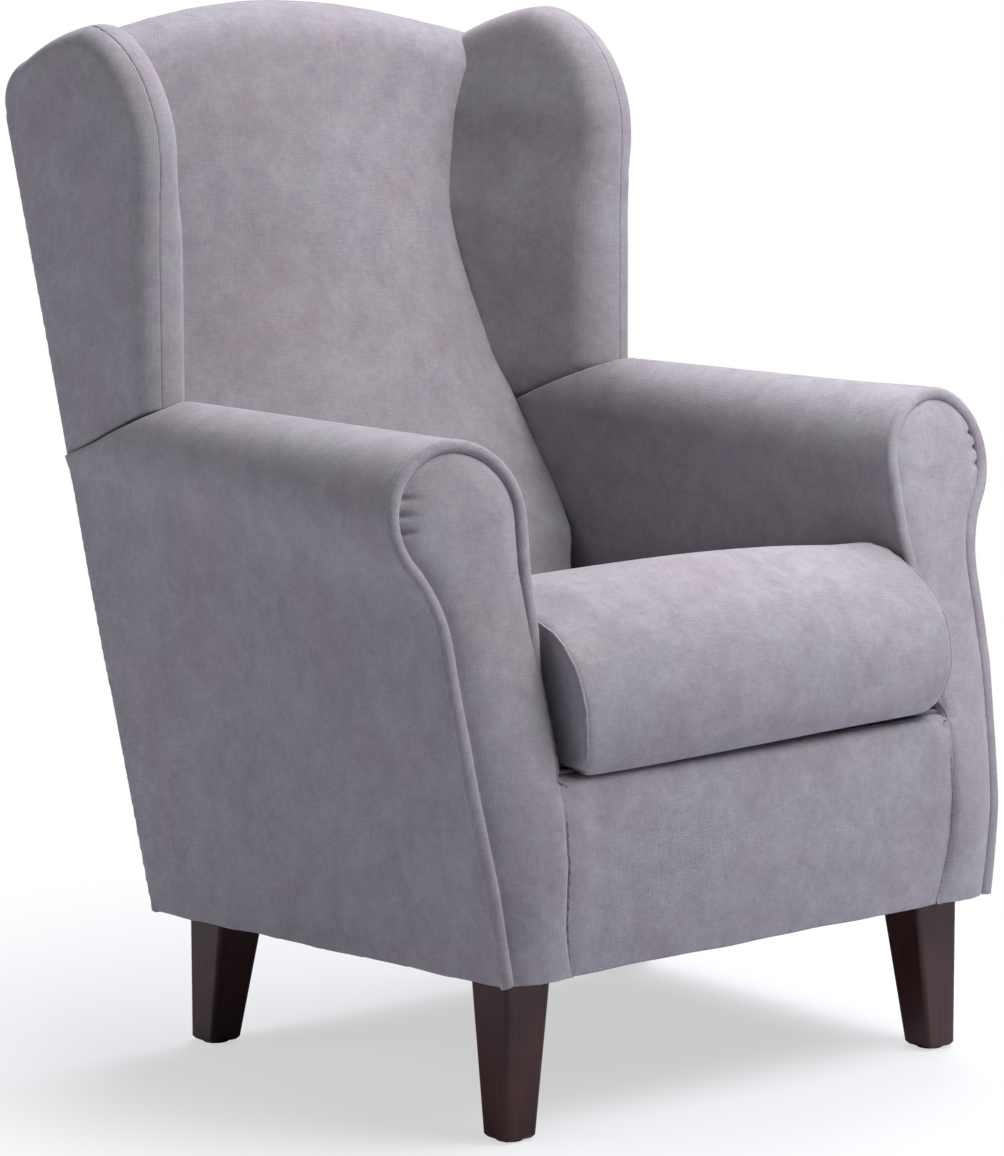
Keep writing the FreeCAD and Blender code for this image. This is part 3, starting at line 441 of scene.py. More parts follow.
def woven_microfibre(name, pale, middle, deep, thread=1.9):
    """Brushed woven microfibre: a matt cloth with a soft nap that clouds where it is stroked,
    fine crossed threads and a faint light edge. Threads are about 0.6 mm on the real cloth and
    are drawn coarser so that they show."""
    cloud_size = 0.034
    stroke_size = 0.008
    tint_size = 0.11
    slub_length = 0.014
    slub_width = 0.0016
    turns = 1.0 / (thread * MM)
    wave_scale = turns / 20.0 * 2.0 * math.pi  # a wave texture of scale 1 turns 20 / (2 pi) times a metre
    material, tree = new_material(name)
    place = add(tree, "ShaderNodeTexCoord")
    clouds = add(tree, "ShaderNodeTexNoise", {
        "Vector": place.outputs["Object"], "Scale": 1.0 / cloud_size, "Detail": 6.0,
        "Roughness": 0.66, "Distortion": 0.4})
    stroked = add(tree, "ShaderNodeTexNoise", {
        "Vector": place.outputs["Object"], "Scale": 1.0 / stroke_size, "Detail": 4.0,
        "Roughness": 0.65})
    tint = add(tree, "ShaderNodeTexNoise", {
        "Vector": place.outputs["Object"], "Scale": 1.0 / tint_size, "Detail": 2.0,
        "Roughness": 0.5})
    across = add(tree, "ShaderNodeMapping", {
        "Vector": place.outputs["UV"], "Scale": (1.0 / slub_length, 1.0 / slub_width, 1.0)})
    along = add(tree, "ShaderNodeMapping", {
        "Vector": place.outputs["UV"], "Scale": (1.0 / slub_width, 1.0 / slub_length, 1.0)})
    weft_slubs = add(tree, "ShaderNodeTexNoise", {
        "Vector": across.outputs[0], "Scale": 1.0, "Detail": 2.0})
    warp_slubs = add(tree, "ShaderNodeTexNoise", {
        "Vector": along.outputs[0], "Scale": 1.0, "Detail": 2.0})
    warp = add(tree, "ShaderNodeTexWave", {
        "Vector": place.outputs["UV"], "Scale": wave_scale, "Distortion": 0.0},
        wave_type="BANDS", bands_direction="X")
    weft = add(tree, "ShaderNodeTexWave", {
        "Vector": place.outputs["UV"], "Scale": wave_scale, "Distortion": 0.0},
        wave_type="BANDS", bands_direction="Y")
    over = add(tree, "ShaderNodeTexChecker", {"Vector": place.outputs["UV"], "Scale": turns})
    weave = add(tree, "ShaderNodeMix", {
        "Factor": over.outputs["Fac"], "A": warp.outputs["Fac"], "B": weft.outputs["Fac"]},
        data_type="FLOAT")
    slubs = add(tree, "ShaderNodeMath", {0: weft_slubs.outputs["Fac"], 1: warp_slubs.outputs["Fac"]},
                operation="ADD")
    stroke_mix = add(tree, "ShaderNodeMath", {
        0: stroked.outputs["Fac"], 1: 0.48, 2: clouds.outputs["Fac"]}, operation="MULTIPLY_ADD")
    shade = add(tree, "ShaderNodeMath", {
        0: slubs.outputs[0], 1: 0.45, 2: stroke_mix.outputs[0]}, operation="MULTIPLY_ADD")
    depth = add(tree, "ShaderNodeMapRange", {
        "Value": shade.outputs[0], "From Min": 0.86, "From Max": 1.52, "To Min": 0.0, "To Max": 1.0})
    ramp = add(tree, "ShaderNodeValToRGB", {"Fac": depth.outputs[0]})
    ramp.color_ramp.elements[0].color = linear(deep)
    ramp.color_ramp.elements[1].color = linear(pale)
    ramp.color_ramp.elements.new(0.5).color = linear(middle)
    tint_share = add(tree, "ShaderNodeMapRange", {
        "Value": tint.outputs["Fac"], "From Min": 0.42, "From Max": 0.62, "To Min": 0.0, "To Max": 0.45})
    warm = add(tree, "ShaderNodeMix", {
        "Factor": tint_share.outputs[0], "A": ramp.outputs["Color"], "B": linear("#FFF0F4")},
        data_type="RGBA", blend_type="MULTIPLY")
    grain = add(tree, "ShaderNodeMapRange", {
        "Value": weave.outputs[0], "To Min": 0.88, "To Max": 1.07})
    threads = add(tree, "ShaderNodeMix", {
        "Factor": 1.0, "A": warm.outputs["Result"], "B": grain.outputs[0]},
        data_type="RGBA", blend_type="MULTIPLY")
    height = add(tree, "ShaderNodeMath", {
        0: stroked.outputs["Fac"], 1: 0.8, 2: weave.outputs[0]}, operation="MULTIPLY_ADD")
    bump = add(tree, "ShaderNodeBump", {
        "Strength": 0.35, "Distance": 0.4 * MM, "Height": height.outputs[0]})
    shader = add(tree, "ShaderNodeBsdfPrincipled", {
        "Base Color": threads.outputs["Result"], "Roughness": 0.92, "Specular IOR Level": 0.15,
        "Sheen Weight": 0.30, "Sheen Roughness": 0.45, "Sheen Tint": linear("#E6E2EA"),
        "Normal": bump.outputs[0]})
    add(tree, "ShaderNodeOutputMaterial", {"Surface": shader.outputs[0]})
    return material


def lacquered_wenge():
    """Dark stained beech under satin lacquer: long fine grain along the leg and a soft clear gloss."""
    grain_width = 0.0035
    grain_length = 0.09
    figure_size = 0.05
    material, tree = new_material("lacquered_wenge")
    place = add(tree, "ShaderNodeTexCoord")
    grain_place = add(tree, "ShaderNodeMapping", {
        "Vector": place.outputs["Object"],
        "Scale": (1.0 / grain_width, 1.0 / grain_width, 1.0 / grain_length)})
    grain = add(tree, "ShaderNodeTexNoise", {
        "Vector": grain_place.outputs[0], "Scale": 1.0, "Detail": 5.0, "Roughness": 0.6})
    figure = add(tree, "ShaderNodeTexNoise", {
        "Vector": place.outputs["Object"], "Scale": 1.0 / figure_size, "Detail": 2.0})
    mixed = add(tree, "ShaderNodeMath", {
        0: figure.outputs["Fac"], 1: 0.5, 2: grain.outputs["Fac"]}, operation="MULTIPLY_ADD")
    ramp = add(tree, "ShaderNodeValToRGB", {"Fac": mixed.outputs[0]})
    ramp.color_ramp.elements[0].position = 0.45
    ramp.color_ramp.elements[0].color = linear("#200C0D")
    ramp.color_ramp.elements[1].position = 1.0
    ramp.color_ramp.elements[1].color = linear("#48201F")
    rough = add(tree, "ShaderNodeMapRange", {
        "Value": grain.outputs["Fac"], "To Min": 0.30, "To Max": 0.46})
    bump = add(tree, "ShaderNodeBump", {
        "Strength": 0.12, "Distance": 0.2 * MM, "Height": grain.outputs["Fac"]})
    shader = add(tree, "ShaderNodeBsdfPrincipled", {
        "Base Color": ramp.outputs["Color"], "Roughness": rough.outputs[0], "Specular IOR Level": 0.3,
        "Coat Weight": 0.08, "Coat Roughness": 0.3, "Normal": bump.outputs[0]})
    add(tree, "ShaderNodeOutputMaterial", {"Surface": shader.outputs[0]})
    return material


def planed_beech():
    """Bare planed frame timber: pale, with short darker flecks along the board."""
    fleck_size = 0.012
    material, tree = new_material("planed_beech")
    place = add(tree, "ShaderNodeTexCoord")
    grain = add(tree, "ShaderNodeTexNoise", {
        "Vector": place.outputs["Object"], "Scale": 1.0 / fleck_size, "Detail": 6.0,
        "Roughness": 0.7})
    ramp = add(tree, "ShaderNodeValToRGB", {"Fac": grain.outputs["Fac"]})
    ramp.color_ramp.elements[0].color = linear("#B08A5E")
    ramp.color_ramp.elements[1].color = linear("#DDBE92")
    bump = add(tree, "ShaderNodeBump", {
        "Strength": 0.2, "Distance": 0.2 * MM, "Height": grain.outputs["Fac"]})
    shader = add(tree, "ShaderNodeBsdfPrincipled", {
        "Base Color": ramp.outputs["Color"], "Roughness": 0.62, "Normal": bump.outputs[0]})
    add(tree, "ShaderNodeOutputMaterial", {"Surface": shader.outputs[0]})
    return material


def speckled(name, low, high, grit, rough, metallic=0.0):
    """A plain small-part finish: two close colours clouded at the grit's size, with a light bump."""
    material, tree = new_material(name)
    place = add(tree, "ShaderNodeTexCoord")
    cloud = add(tree, "ShaderNodeTexNoise", {
        "Vector": place.outputs["Object"], "Scale": 1.0 / (grit * MM), "Detail": 3.0})
    ramp = add(tree, "ShaderNodeValToRGB", {"Fac": cloud.outputs["Fac"]})
    ramp.color_ramp.elements[0].color = linear(low)
    ramp.color_ramp.elements[1].color = linear(high)
    bump = add(tree, "ShaderNodeBump", {
        "Strength": 0.2, "Distance": 0.1 * MM, "Height": cloud.outputs["Fac"]})
    shader = add(tree, "ShaderNodeBsdfPrincipled", {
        "Base Color": ramp.outputs["Color"], "Roughness": rough, "Metallic": metallic,
        "Normal": bump.outputs[0]})
    add(tree, "ShaderNodeOutputMaterial", {"Surface": shader.outputs[0]})
    return material


cover = woven_microfibre("woven_microfibre", "#A5A2A9", "#98949B", "#8A858D")
lining = woven_microfibre("grey_lining_cotton", "#77747B", "#6C6970", "#605D64", thread=2.0)
leg_wood = lacquered_wenge()
frame_wood = planed_beech()
steel = speckled("zinc_plated_steel", "#8E9094", "#A9ABAE", grit=3.0, rough=0.35, metallic=1.0)
glide_plastic = speckled("moulded_polypropylene", "#141414", "#1E1E1E", grit=1.5, rough=0.5)
dust_cloth = speckled("non_woven_dust_cloth", "#0E0E10", "#1D1D20", grit=0.8, rough=0.95)
strap_cloth = speckled("jute_webbing", "#6A563F", "#8A7354", grit=1.5, rough=0.9)
zip_cloth = speckled("zip_tape", "#67646B", "#757279", grit=1.0, rough=0.9)
zip_enamel = speckled("enamelled_zinc", "#5C5A60", "#6B696F", grit=1.0, rough=0.35)


# Upholstery

def inner_edge_x(z):
    """Inner edge of an arm's front: beside the apron, and leaning in with the arm above it."""
    foot = np.clip((apron_shoulder_z - z) / (apron_shoulder_z - base_front_z), 0.0, 1.0)
    lean = math.tan(arm_draft) * np.maximum(z - apron_top_z, 0.0)
    return apron_half_width - apron_taper * foot ** 2 - lean


def hem(obj):
    """Lets the bottom edge of a cover wander a little, as cloth pulled over a rail does."""
    places = points(obj)
    run = places[:, 0] + places[:, 1]
    near = smoothstep(hem_reach, 0.0, places[:, 2] - base_z(places[:, 1]))
    wander = np.sin(run / hem_long_wave) + 0.5 * np.sin(run / hem_short_wave + 1.0)
    places[:, 2] += near * hem_wave * wander
    put(obj, places)


def distances(obj, places):
    """How far some places are from the nearest point of an object's mesh."""
    cloud = points(obj)
    tree = KDTree(len(cloud))
    for index, place in enumerate(cloud):
        tree.insert(place, index)
    tree.balance()
    return np.array([tree.find(place)[2] for place in places])


def arm_cover(side, piping):
    """One cover from the bottom edge outside, over the roll and down inside the arm."""
    parts = ("arm_roll_pad", "inside_arm_pad", "outside_arm_panel")
    nodes = ["%s_%s" % (part, side) for part in parts]
    obj = copy_nodes("arm_cover_" + side, *nodes, swell=1.6)
    remesh(obj, voxel=3.5)
    relax(obj, rounds=10)
    places = points(obj) - normals(obj) * 1.2
    depth = places[:, 1] - facing_y(places[:, 0], places[:, 2])
    front = np.flatnonzero(depth < facing_depth + piping_band)
    lap = np.zeros(len(places))
    lap[front] = smoothstep(*piping_near, distances(piping, places[front]))
    places[:, 1] -= piping_lap * lap
    places[:, 1] -= belly(places[:, 0], places[:, 2]) * smoothstep(belly_reach, 0.0, depth)
    put(obj, places)
    clear_of_rear = smoothstep(*neck_from_rear, rear_y(places[:, 2]) - places[:, 1])
    neck = smoothstep(*neck_x, np.abs(places[:, 0])) * smoothstep(*neck_z, places[:, 2])
    soften(obj, rounds=70, share=neck * smoothstep(*neck_from_front, depth) * clear_of_rear)
    hem(obj)
    return finish_cloth(obj, cover, "chair", nodes)


def arm_facing(side, piping):
    """Padded front of an arm, crowned, with a soft inner edge and a few gathers at the roll."""
    node = "arm_facing_" + side
    obj = copy_nodes("arm_front_" + side, node, swell=0.4)
    remesh(obj, voxel=2.2)
    relax(obj, rounds=12)
    places = points(obj)
    ahead = smoothstep(-0.2, -0.6, normals(obj)[:, 1])
    x = np.abs(places[:, 0])
    z = places[:, 2]
    plane = facing_y(places[:, 0], z)
    depth = places[:, 1] - plane
    rear = smoothstep(*facing_rear_depth, depth) * smoothstep(*facing_rear_z, z)
    from_piping = np.maximum(distances(piping, places) - 1.0, 0.0)
    reach = np.interp(z, facing_reach_z, facing_reach)
    x = x - reach * smoothstep(*facing_reach_run, x - inner_edge_x(z))
    from_edge = np.maximum(x - inner_edge_x(z), 0.0)
    rim = np.minimum(from_piping, from_edge + facing_open * smoothstep(*facing_open_z, z))
    crown = facing_rim_depth - facing_crown * (1.0 - np.exp(-rim / facing_crown_run))
    depth = depth + (crown - depth) * ahead
    foot = 0.5 + 0.5 * smoothstep(*facing_edge_foot_z, z)
    radius = facing_edge_radius * smoothstep(*facing_edge_top_z, z) * foot
    share = np.clip(1.0 - from_edge / np.maximum(radius, 0.1), 0.0, 1.0)
    depth = depth + ahead * radius * (1.0 - np.sqrt(1.0 - share ** 2))
    outer = np.exp(-(from_piping / gather_reach) ** 2) * (x > roll_x) * ahead
    for gather_z in gathers_z:
        depth = depth + gather_depth * outer * np.exp(-((z - gather_z) / gather_height) ** 2)
    places[:, 0] = np.sign(places[:, 0]) * x
    places[:, 1] = plane + depth - belly(x, z) * (1.0 - rear)
    put(obj, places)
    relax(obj, rounds=3)
    hem(obj)
    return finish_cloth(obj, cover, "chair", [node], axis=1)


def arm_piping(side):
    """Piping: a cord wrapped in the cover's cloth round the arm's front."""
    obj = copy_nodes("arm_piping_" + side, "arm_welt_" + side)
    remesh(obj, voxel=1.8)
    relax(obj, rounds=6)
    return obj


def set_piping(obj, side):
    """Moves the piping out with the arm's front, and loses its inner end behind the cushion."""
    places = points(obj) + normals(obj) * piping_swell
    x = np.abs(places[:, 0])
    z = places[:, 2]
    lost = smoothstep(*piping_end_z, z) * (x < piping_end_x)
    places[:, 1] += piping_end_depth * lost - belly(x, z)
    put(obj, places)
    return finish_cloth(obj, cover, "chair", ["arm_welt_" + side])


def ease_front(obj):
    """Evens a wing's front edge where its straight runs into the curve of the top."""
    places = points(obj)
    z = places[:, 2]
    low, high = wing_even_z
    levels = np.arange(low, high + 1.0, wing_even_step)
    edge = np.array([places[np.abs(z - level) < wing_even_band, 1].min() for level in levels])
    middle = levels.mean()
    even = np.polyval(np.polyfit(levels - middle, edge, 4), levels - middle)
    fade_in = smoothstep(low, low + wing_even_ends, levels)
    fade_out = smoothstep(high, high - wing_even_ends, levels)
    move = (even - edge) * fade_in * fade_out
    near = smoothstep(*wing_front_reach, places[:, 1] - np.interp(z, levels, edge))
    places[:, 1] += near * np.interp(z, levels, move)
    put(obj, places)


def wing_inside(side):
    """Inside of a wing; it runs in behind the back's edge and thins at its top for the corner."""
    node = "inside_wing_pad_" + side
    obj = copy_nodes("wing_inside_" + side, node, swell=0.4)
    remesh(obj, voxel=3.0)
    relax(obj, rounds=4)
    ease_front(obj)
    places = points(obj)
    x = np.abs(places[:, 0])
    z = places[:, 2]
    inward = np.clip((wing_seam_x - x) / wing_depth, 0.0, 1.0)
    x = x + wing_top_out * inward * smoothstep(*wing_top_z, z)
    x = x - wing_lap * inward * smoothstep(*wing_lap_z, z) * smoothstep(*wing_lap_end_z, z)
    places[:, 0] = np.sign(places[:, 0]) * x
    put(obj, places)
    soften(obj, rounds=30, share=smoothstep(*wing_round, wing_seam_x - x))
    return finish_cloth(obj, cover, "chair", [node])


def wing_outside(side):
    """Outside of a wing, taut to the seam along its front."""
    node = "outside_wing_panel_" + side
    obj = copy_nodes("wing_outside_" + side, node, swell=0.4)
    remesh(obj, voxel=3.0)
    relax(obj, rounds=4)
    ease_front(obj)
    return finish_cloth(obj, cover, "chair", [node])


def apron():
    """Front panel under the cushion; its sides run in behind the arm fronts."""
    obj = copy_nodes("apron", "front_apron", swell=0.4)
    remesh(obj, voxel=3.2)
    relax(obj, rounds=8)
    places = points(obj)
    x = np.abs(places[:, 0])
    z = places[:, 2]
    outward = smoothstep(apron_side_x, apron_half_width, x)
    edge_y = facing_y(inner_edge_x(z), z) - belly(inner_edge_x(z), z) + apron_tuck
    bow = np.maximum(0.0, 1.0 - ((z - apron_belly_z) / apron_belly_half_height) ** 2)
    flat_y = base_front_y - apron_belly * bow
    places[:, 1] += outward * (edge_y - flat_y) + apron_groove * smoothstep(*apron_groove_x, x)
    lap = apron_lap * (1.0 - apron_lap_top_loss * smoothstep(*apron_lap_top_z, z))
    places[:, 0] += np.sign(places[:, 0]) * lap * smoothstep(*apron_lap_x, x)
    put(obj, places)
    relax(obj, rounds=6)
    hem(obj)
    return finish_cloth(obj, cover, "chair", ["front_apron"], axis=1)


def inside_back():
    """Inside back, blown up a little; its top corners come out over the wings."""
    obj = copy_nodes("inside_back", "inside_back_pad", swell=1.2)
    remesh(obj, voxel=7.0)
    relax(obj, rounds=4)
    places = points(obj)
    ahead = np.clip(-normals(obj)[:, 1] * 1.6, 0.0, 1.0)
    x = np.abs(places[:, 0])
    free = ahead * smoothstep(*back_free_x, x) * smoothstep(*back_free_z, places[:, 2])
    inflate(obj, pressure=4.0, cap=4.0, free=free)
    subdivide(obj)
    places = points(obj)
    x = np.abs(places[:, 0])
    outward = np.sign(places[:, 0])
    corner = smoothstep(*back_corner_x, x) * smoothstep(*back_corner_z, places[:, 2])
    tuck = back_tuck * smoothstep(*back_tuck_x, x) * smoothstep(*back_tuck_z, places[:, 2])
    places[:, 0] += outward * (back_corner_out * corner + tuck)
    places[:, 2] -= back_corner_down * corner * smoothstep(*back_corner_down_z, places[:, 2])
    edge = np.interp(places[:, 2], back_edge_z, back_edge)
    places[:, 0] += np.sign(places[:, 0]) * edge * smoothstep(*back_edge_x, x)
    behind = smoothstep(0.2, 0.7, normals(obj)[:, 1])
    places[:, 1] += back_lap * behind * smoothstep(*back_lap_z, places[:, 2])
    put(obj, places)
    return finish_cloth(obj, cover, "chair", ["inside_back_pad"], axis=1)


def outside_back():
    """Taut panel closing the back; its top edge laps up behind the inside back."""
    obj = copy_nodes("outside_back", "outside_back_panel", swell=0.4)
    places = points(obj)
    places[:, 1] -= panel_wadding * (normals(obj)[:, 1] < -0.5)
    put(obj, places)
    remesh(obj, voxel=4.5)
    relax(obj, rounds=4)
    places = points(obj)
    x = np.abs(places[:, 0])
    lap = panel_lap * smoothstep(*panel_lap_z, places[:, 2]) * smoothstep(*panel_lap_x, x)
    places[:, 1] += math.tan(back_rake) * lap
    places[:, 2] += lap
    put(obj, places)
    return finish_cloth(obj, cover, "chair", ["outside_back_panel"], axis=1)


def seat_deck():
    """Deck under the cushion; its cloth runs out over the arms' lower rails."""
    obj = copy_nodes("deck", "seat_deck", swell=0.4)
    remesh(obj, voxel=5.0)
    relax(obj, rounds=4)
    places = points(obj)
    x = np.abs(places[:, 0])
    places[:, 0] += np.sign(places[:, 0]) * deck_lap * smoothstep(x.max() - deck_lap_run, x.max(), x)
    places[:, 2] += deck_rise
    put(obj, places)
    finish_cloth(obj, lining, "chair", ["seat_deck"], axis=2)


def dust_cover():
    """Black cloth tacked under the seat rails, notched round the legs and sagging a little."""
    low, high = (np.array(corner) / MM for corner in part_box("dust_cover"))
    front_leg = [np.array(corner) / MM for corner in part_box("front_leg_right")]
    rear_leg = [np.array(corner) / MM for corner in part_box("rear_leg_right")]
    leg_in_x = front_leg[0][0] - leg_room
    leg_in_y = (front_leg[1][1] + leg_room, rear_leg[0][1] - leg_room)
    half_lines = np.append(np.linspace(0.0, leg_in_x, dust_lines_x), high[0])
    lines_x = np.concatenate([-half_lines[:0:-1], half_lines])
    between_legs = np.linspace(leg_in_y[0], leg_in_y[1], dust_lines_y)
    lines_y = np.concatenate([[low[1]], between_legs, [high[1]]])
    x, y = (grid.ravel() for grid in np.meshgrid(lines_x, lines_y))
    bow = np.sin(math.pi * (y - low[1]) / (high[1] - low[1]))
    sag = dust_sag * (1.0 - (x / high[0]) ** 2) * bow
    z = low[2] + base_drop / base_depth * (high[1] - y) + dust_lift - sag
    wide = len(lines_x)
    tall = len(lines_y)
    faces = []
    for row in range(tall - 1):
        for column in range(wide - 1):
            if row in (0, tall - 2) and column in (0, wide - 2):
                continue
            first = row * wide + column
            faces.append((first, first + wide, first + wide + 1, first + 1))
    mesh = bpy.data.meshes.new("dust_cover")
    mesh.from_pydata(np.column_stack([x, y, z]) * MM, [], faces)
    obj = bpy.data.objects.new("dust_cloth", mesh)
    bpy.context.scene.collection.objects.link(obj)
    activate(obj)
    cloth = obj.modifiers.new("Solidify", "SOLIDIFY")
    cloth.thickness = dust_thickness * MM
    bpy.ops.object.modifier_apply(modifier="Solidify")
    finish_cloth(obj, dust_cloth, "chair", ["dust_cover"], axis=2)


def subdivide(obj):
    activate(obj)
    obj.modifiers.new("Subdivision", "SUBSURF").levels = 1
    bpy.ops.object.modifier_apply(modifier="Subdivision")


def seat_cushion():
    """Boxed cushion: a crowned band with a flat panel sewn in at each side."""
    obj = copy_nodes("seat_cushion", "seat_foam")
    remesh(obj, voxel=6.0)
    relax(obj, rounds=5)
    put(obj, points(obj) + normals(obj) * 3.2)
    places = points(obj)
    facing = normals(obj)
    middle = smoothstep(*cushion_free_x, np.abs(places[:, 0]))
    free = np.clip(0.35 * facing[:, 2], 0.0, 1.0) + np.clip(-facing[:, 1], 0.0, 1.0)
    inflate(obj, pressure=4.0, cap=6.0, free=np.clip(free, 0.0, 1.0) * middle)
    subdivide(obj)
    put(obj, round_foot(nose(points(obj))))
    finish_cloth(obj, cover, "seat_cushion", ["seat_cushion_cover", "seat_foam"])
    bpy.context.view_layer.update()
    for side, sign in sides.items():
        cushion_seam(obj, side, sign)


def nose(places):
    """Widens the cushion in front of the arms; its top falls away to the sides and the rear."""
    x = np.abs(places[:, 0])
    y = places[:, 1]
    z = places[:, 2]
    right = places[:, 0] > 0.0
    ahead = y - facing_y(apron_half_width, z) + belly(apron_half_width, z)
    wide = np.interp(z, nose_z, nose_half_width) - cushion_half_width
    grow = wide * smoothstep(*nose_ahead, ahead) * smoothstep(nose_x, cushion_half_width, x)
    droop = smoothstep(*droop_x, x) * smoothstep(*droop_z, z) * smoothstep(*droop_y, y)
    droop = np.where(right, cushion_droop_right, cushion_droop_left) * droop
    height = np.clip(above_deck(places) / (cushion_top_z - deck_front_z), 0.0, 1.0)
    fall = cushion_fall * height * np.clip((y - fall_front_y) / fall_run, 0.0, 1.0)
    behind = smoothstep(*fall_rear, cushion_rear_y(z) - y)
    sit = cushion_sit * smoothstep(*sit_x, places[:, 0]) * smoothstep(*sit_height, above_deck(places))
    sit = sit * smoothstep(*sit_y, y)
    moved = places.copy()
    moved[:, 0] += np.sign(places[:, 0]) * grow
    moved[:, 1] -= math.tan(back_rake) * fall * behind
    moved[:, 2] -= droop + fall + sit
    return moved


def cushion_rear_y(z):
    """The plane of the cushion's rear face."""
    return rear_y(z) - cushion_rear_inset


def above_deck(places):
    """Height of some places over the deck, which falls to the rear."""
    return places[:, 2] - deck_front_z + math.tan(deck_pitch) * (places[:, 1] - base_front_y)


def round_foot(places):
    """Rounds the cushion's lower side edges."""
    x = np.abs(places[:, 0])
    radius = np.where(places[:, 0] > 0.0, cushion_foot_right, cushion_foot_left)
    below = np.clip(1.0 - above_deck(places) / radius, 0.0, 0.98)
    inset = radius * (1.0 - np.sqrt(1.0 - below ** 2))
    moved = places.copy()
    moved[:, 0] -= np.sign(places[:, 0]) * (inset * smoothstep(cushion_foot_x, cushion_half_width, x))
    return moved


def evenly(path, step):
    """The same line with its points at even steps."""
    run = np.concatenate([[0.0], np.cumsum(np.linalg.norm(np.diff(path, axis=0), axis=1))])
    stops = np.arange(0.0, run[-1], step)
    return np.column_stack([np.interp(stops, run, path[:, axis]) for axis in range(3)])


def cushion_seam(cushion, side, sign):
    """Seam roll between the cushion's band and its side panel, on the panel's outline."""
    places = points(frame["nodes"]["seat_cushion_cover"])
    rim = np.unique(places[places[:, 0] * sign > cushion_half_width - 0.1].round(1), axis=0)
    centre = rim.mean(axis=0)
    turn = np.arctan2(rim[:, 2] - centre[2], rim[:, 1] - centre[1])
    rim = rim[np.argsort((turn + 0.5 * math.pi) % (2.0 * math.pi))]
    path = nose(evenly(rim[above_deck(rim) > seam_foot], seam_step))
    path = np.array([cushion.closest_point_on_mesh(place * MM)[1] for place in path]) / MM
    curve = bpy.data.curves.new("cushion_seam_" + side, "CURVE")
    curve.dimensions = "3D"
    curve.bevel_depth = seam_radius * MM
    curve.bevel_resolution = 3
    line = curve.splines.new("POLY")
    line.points.add(len(path) - 1)
    line.points.foreach_set("co", np.column_stack([path * MM, np.ones(len(path))]).ravel())
    curve.use_fill_caps = True
    obj = bpy.data.objects.new("cushion_seam_" + side, curve)
    bpy.context.scene.collection.objects.link(obj)
    activate(obj)
    bpy.ops.object.convert(target="MESH")
    return finish_cloth(bpy.context.object, cover, "seat_cushion", [])


for side in sides:
    piping = arm_piping(side)
    arm_cover(side, piping)
    arm_facing(side, piping)
    set_piping(piping, side)
    wing_inside(side)
    wing_outside(side)
inside_back()
outside_back()
apron()
seat_deck()
dust_cover()
seat_cushion()

finishes = {
    "leg_wood": leg_wood, "frame_wood": frame_wood, "steel": steel, "glide_plastic": glide_plastic,
    "dust_cloth": dust_cloth, "webbing": strap_cloth, "zip_tape": zip_cloth, "zip_metal": zip_enamel,
}
for entry in frame["record"]["subparts"]:
    finish = finishes.get(entry["material_slot"])
    if finish:
        node = frame["nodes"][entry["node"]]
        node.data.materials.clear()
        node.data.materials.append(finish)


# Stage

def floor():
    """White paper: it takes the chair's shadow near the legs and is plain white further out."""
    bpy.ops.object.select_all(action="DESELECT")
    bpy.ops.mesh.primitive_plane_add(size=40.0)
    plane = bpy.context.object
    plane.name = "floor"
    material, tree = new_material("white_paper")
    path = add(tree, "ShaderNodeLightPath")
    place = add(tree, "ShaderNodeTexCoord")
    reach = add(tree, "ShaderNodeVectorMath", {0: place.outputs["Object"]}, operation="LENGTH")
    clear = add(tree, "ShaderNodeMapRange", {
        "Value": reach.outputs["Value"], "From Min": 0.38, "From Max": 0.88,
        "To Min": 0.58, "To Max": 1.0}, interpolation_type="SMOOTHSTEP")
    paper = add(tree, "ShaderNodeBsdfDiffuse", {"Color": linear("#EAEEF7")})
    glow = add(tree, "ShaderNodeEmission", {"Color": (1.0, 1.0, 1.0, 1.0), "Strength": 1.0})
    share = add(tree, "ShaderNodeMath", {
        0: path.outputs["Is Camera Ray"], 1: clear.outputs[0]}, operation="MULTIPLY")
    mixed = add(tree, "ShaderNodeMixShader", {
        0: share.outputs[0], 1: paper.outputs[0], 2: glow.outputs[0]})
    add(tree, "ShaderNodeOutputMaterial", {"Surface": mixed.outputs[0]})
    plane.data.materials.append(material)


def world():
    """Faint fill light, with plain white behind the chair."""
    surroundings = bpy.data.worlds.new("studio")
    bpy.context.scene.world = surroundings
    surroundings.use_nodes = True
    tree = surroundings.node_tree
    tree.nodes.clear()
    path = add(tree, "ShaderNodeLightPath")
    soft = add(tree, "ShaderNodeBackground", {"Color": linear("#F2F4FA"), "Strength": 0.03})
    white = add(tree, "ShaderNodeBackground", {"Color": (1.0, 1.0, 1.0, 1.0), "Strength": 1.0})
    mixed = add(tree, "ShaderNodeMixShader", {
        0: path.outputs["Is Camera Ray"], 1: soft.outputs[0], 2: white.outputs[0]})
    add(tree, "ShaderNodeOutputWorld", {"Surface": mixed.outputs[0]})


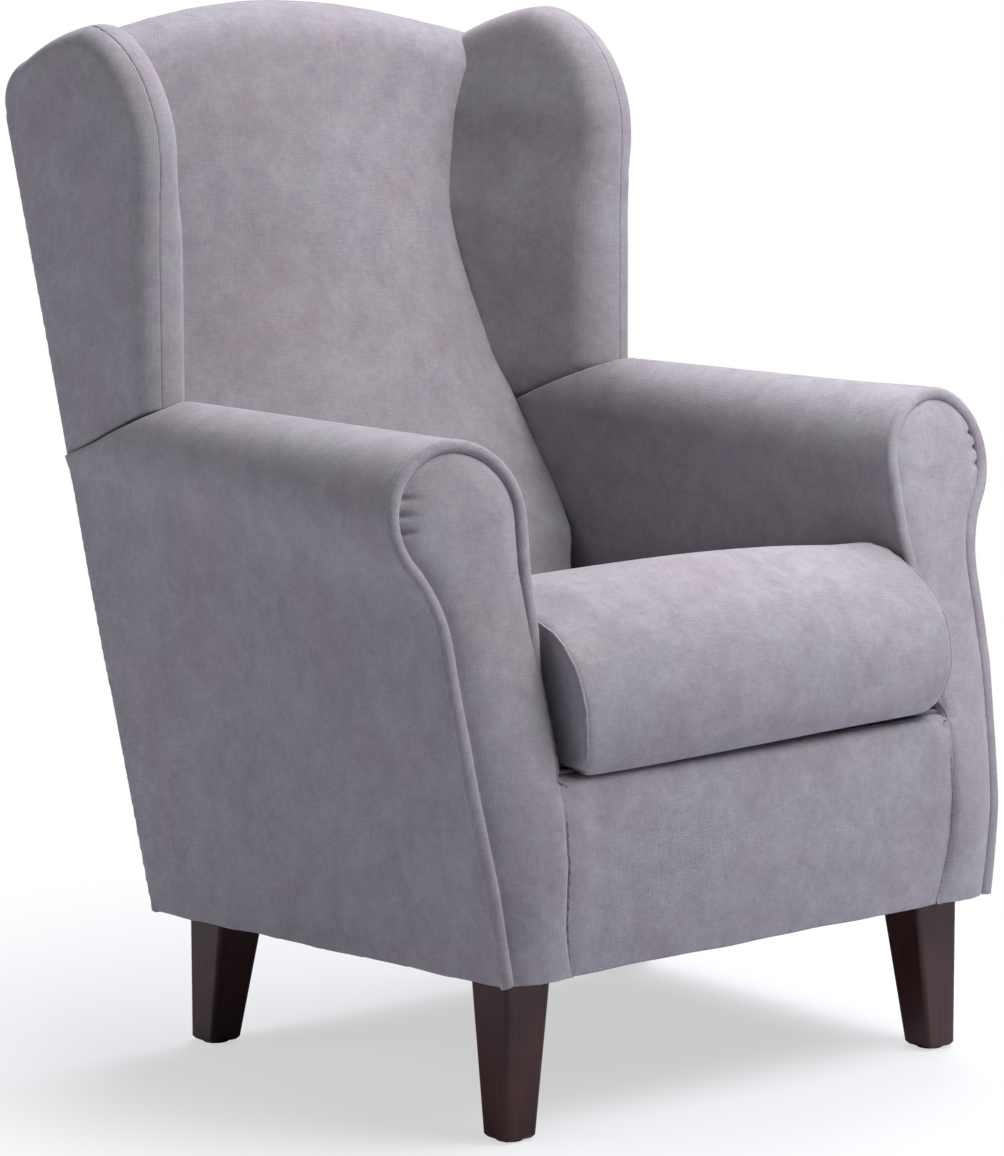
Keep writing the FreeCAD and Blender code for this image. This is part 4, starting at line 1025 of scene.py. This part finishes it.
def softbox(name, azimuth, elevation, distance, size, watts, colour="#FFFFFF"):
    """Square area lamp that looks at the chair's middle."""
    lamp = bpy.data.lights.new(name, "AREA")
    lamp.size = size
    lamp.energy = watts
    lamp.color = linear(colour)[:3]
    holder = bpy.data.objects.new(name, lamp)
    bpy.context.scene.collection.objects.link(holder)
    a = math.radians(azimuth)
    e = math.radians(elevation)
    way = Vector((math.sin(a) * math.cos(e), -math.cos(a) * math.cos(e), math.sin(e)))
    chair_middle = Vector((0.0, 0.0, 0.5))
    holder.location = chair_middle + way * distance
    holder.rotation_euler = way.to_track_quat("Z", "Y").to_euler()


def camera():
    """Camera fitted to the photograph's view; lengths in millimetres."""
    azimuth, elevation, roll = (math.radians(a) for a in (38.774, 9.243, -0.152))
    distance = 5047.4
    target = Vector((-1.98, -7.5, 466.5))
    focal_pixels = 4965.7
    frame_pixels = 1156.0
    sensor = 36.0
    back = Vector((
        -math.sin(azimuth) * math.cos(elevation),
        -math.cos(azimuth) * math.cos(elevation),
        math.sin(elevation)))
    level = Vector((0.0, 0.0, 1.0)).cross(back).normalized()
    upright = back.cross(level)
    right = level * math.cos(roll) + upright * math.sin(roll)
    up = upright * math.cos(roll) - level * math.sin(roll)
    lens = bpy.data.cameras.new("camera")
    lens.sensor_width = sensor
    lens.lens = sensor * focal_pixels / frame_pixels
    lens.shift_y = -0.0017
    holder = bpy.data.objects.new("camera", lens)
    bpy.context.scene.collection.objects.link(holder)
    matrix = Matrix((right, up, back)).transposed().to_4x4()
    matrix.translation = (target + back * distance) * MM
    holder.matrix_world = matrix
    bpy.context.scene.camera = holder


floor()
world()
softbox("key", azimuth=16.0, elevation=56.0, distance=2.1, size=1.4, watts=31.0)
softbox("front", azimuth=25.0, elevation=36.0, distance=1.5, size=0.9, watts=12.0)
softbox("left", azimuth=-115.0, elevation=18.0, distance=3.2, size=2.0, watts=26.0)
softbox("rim", azimuth=130.0, elevation=55.0, distance=3.2, size=2.0, watts=118.0, colour="#FBFBFF")
camera()
bpy.context.scene.view_settings.view_transform = "Standard"
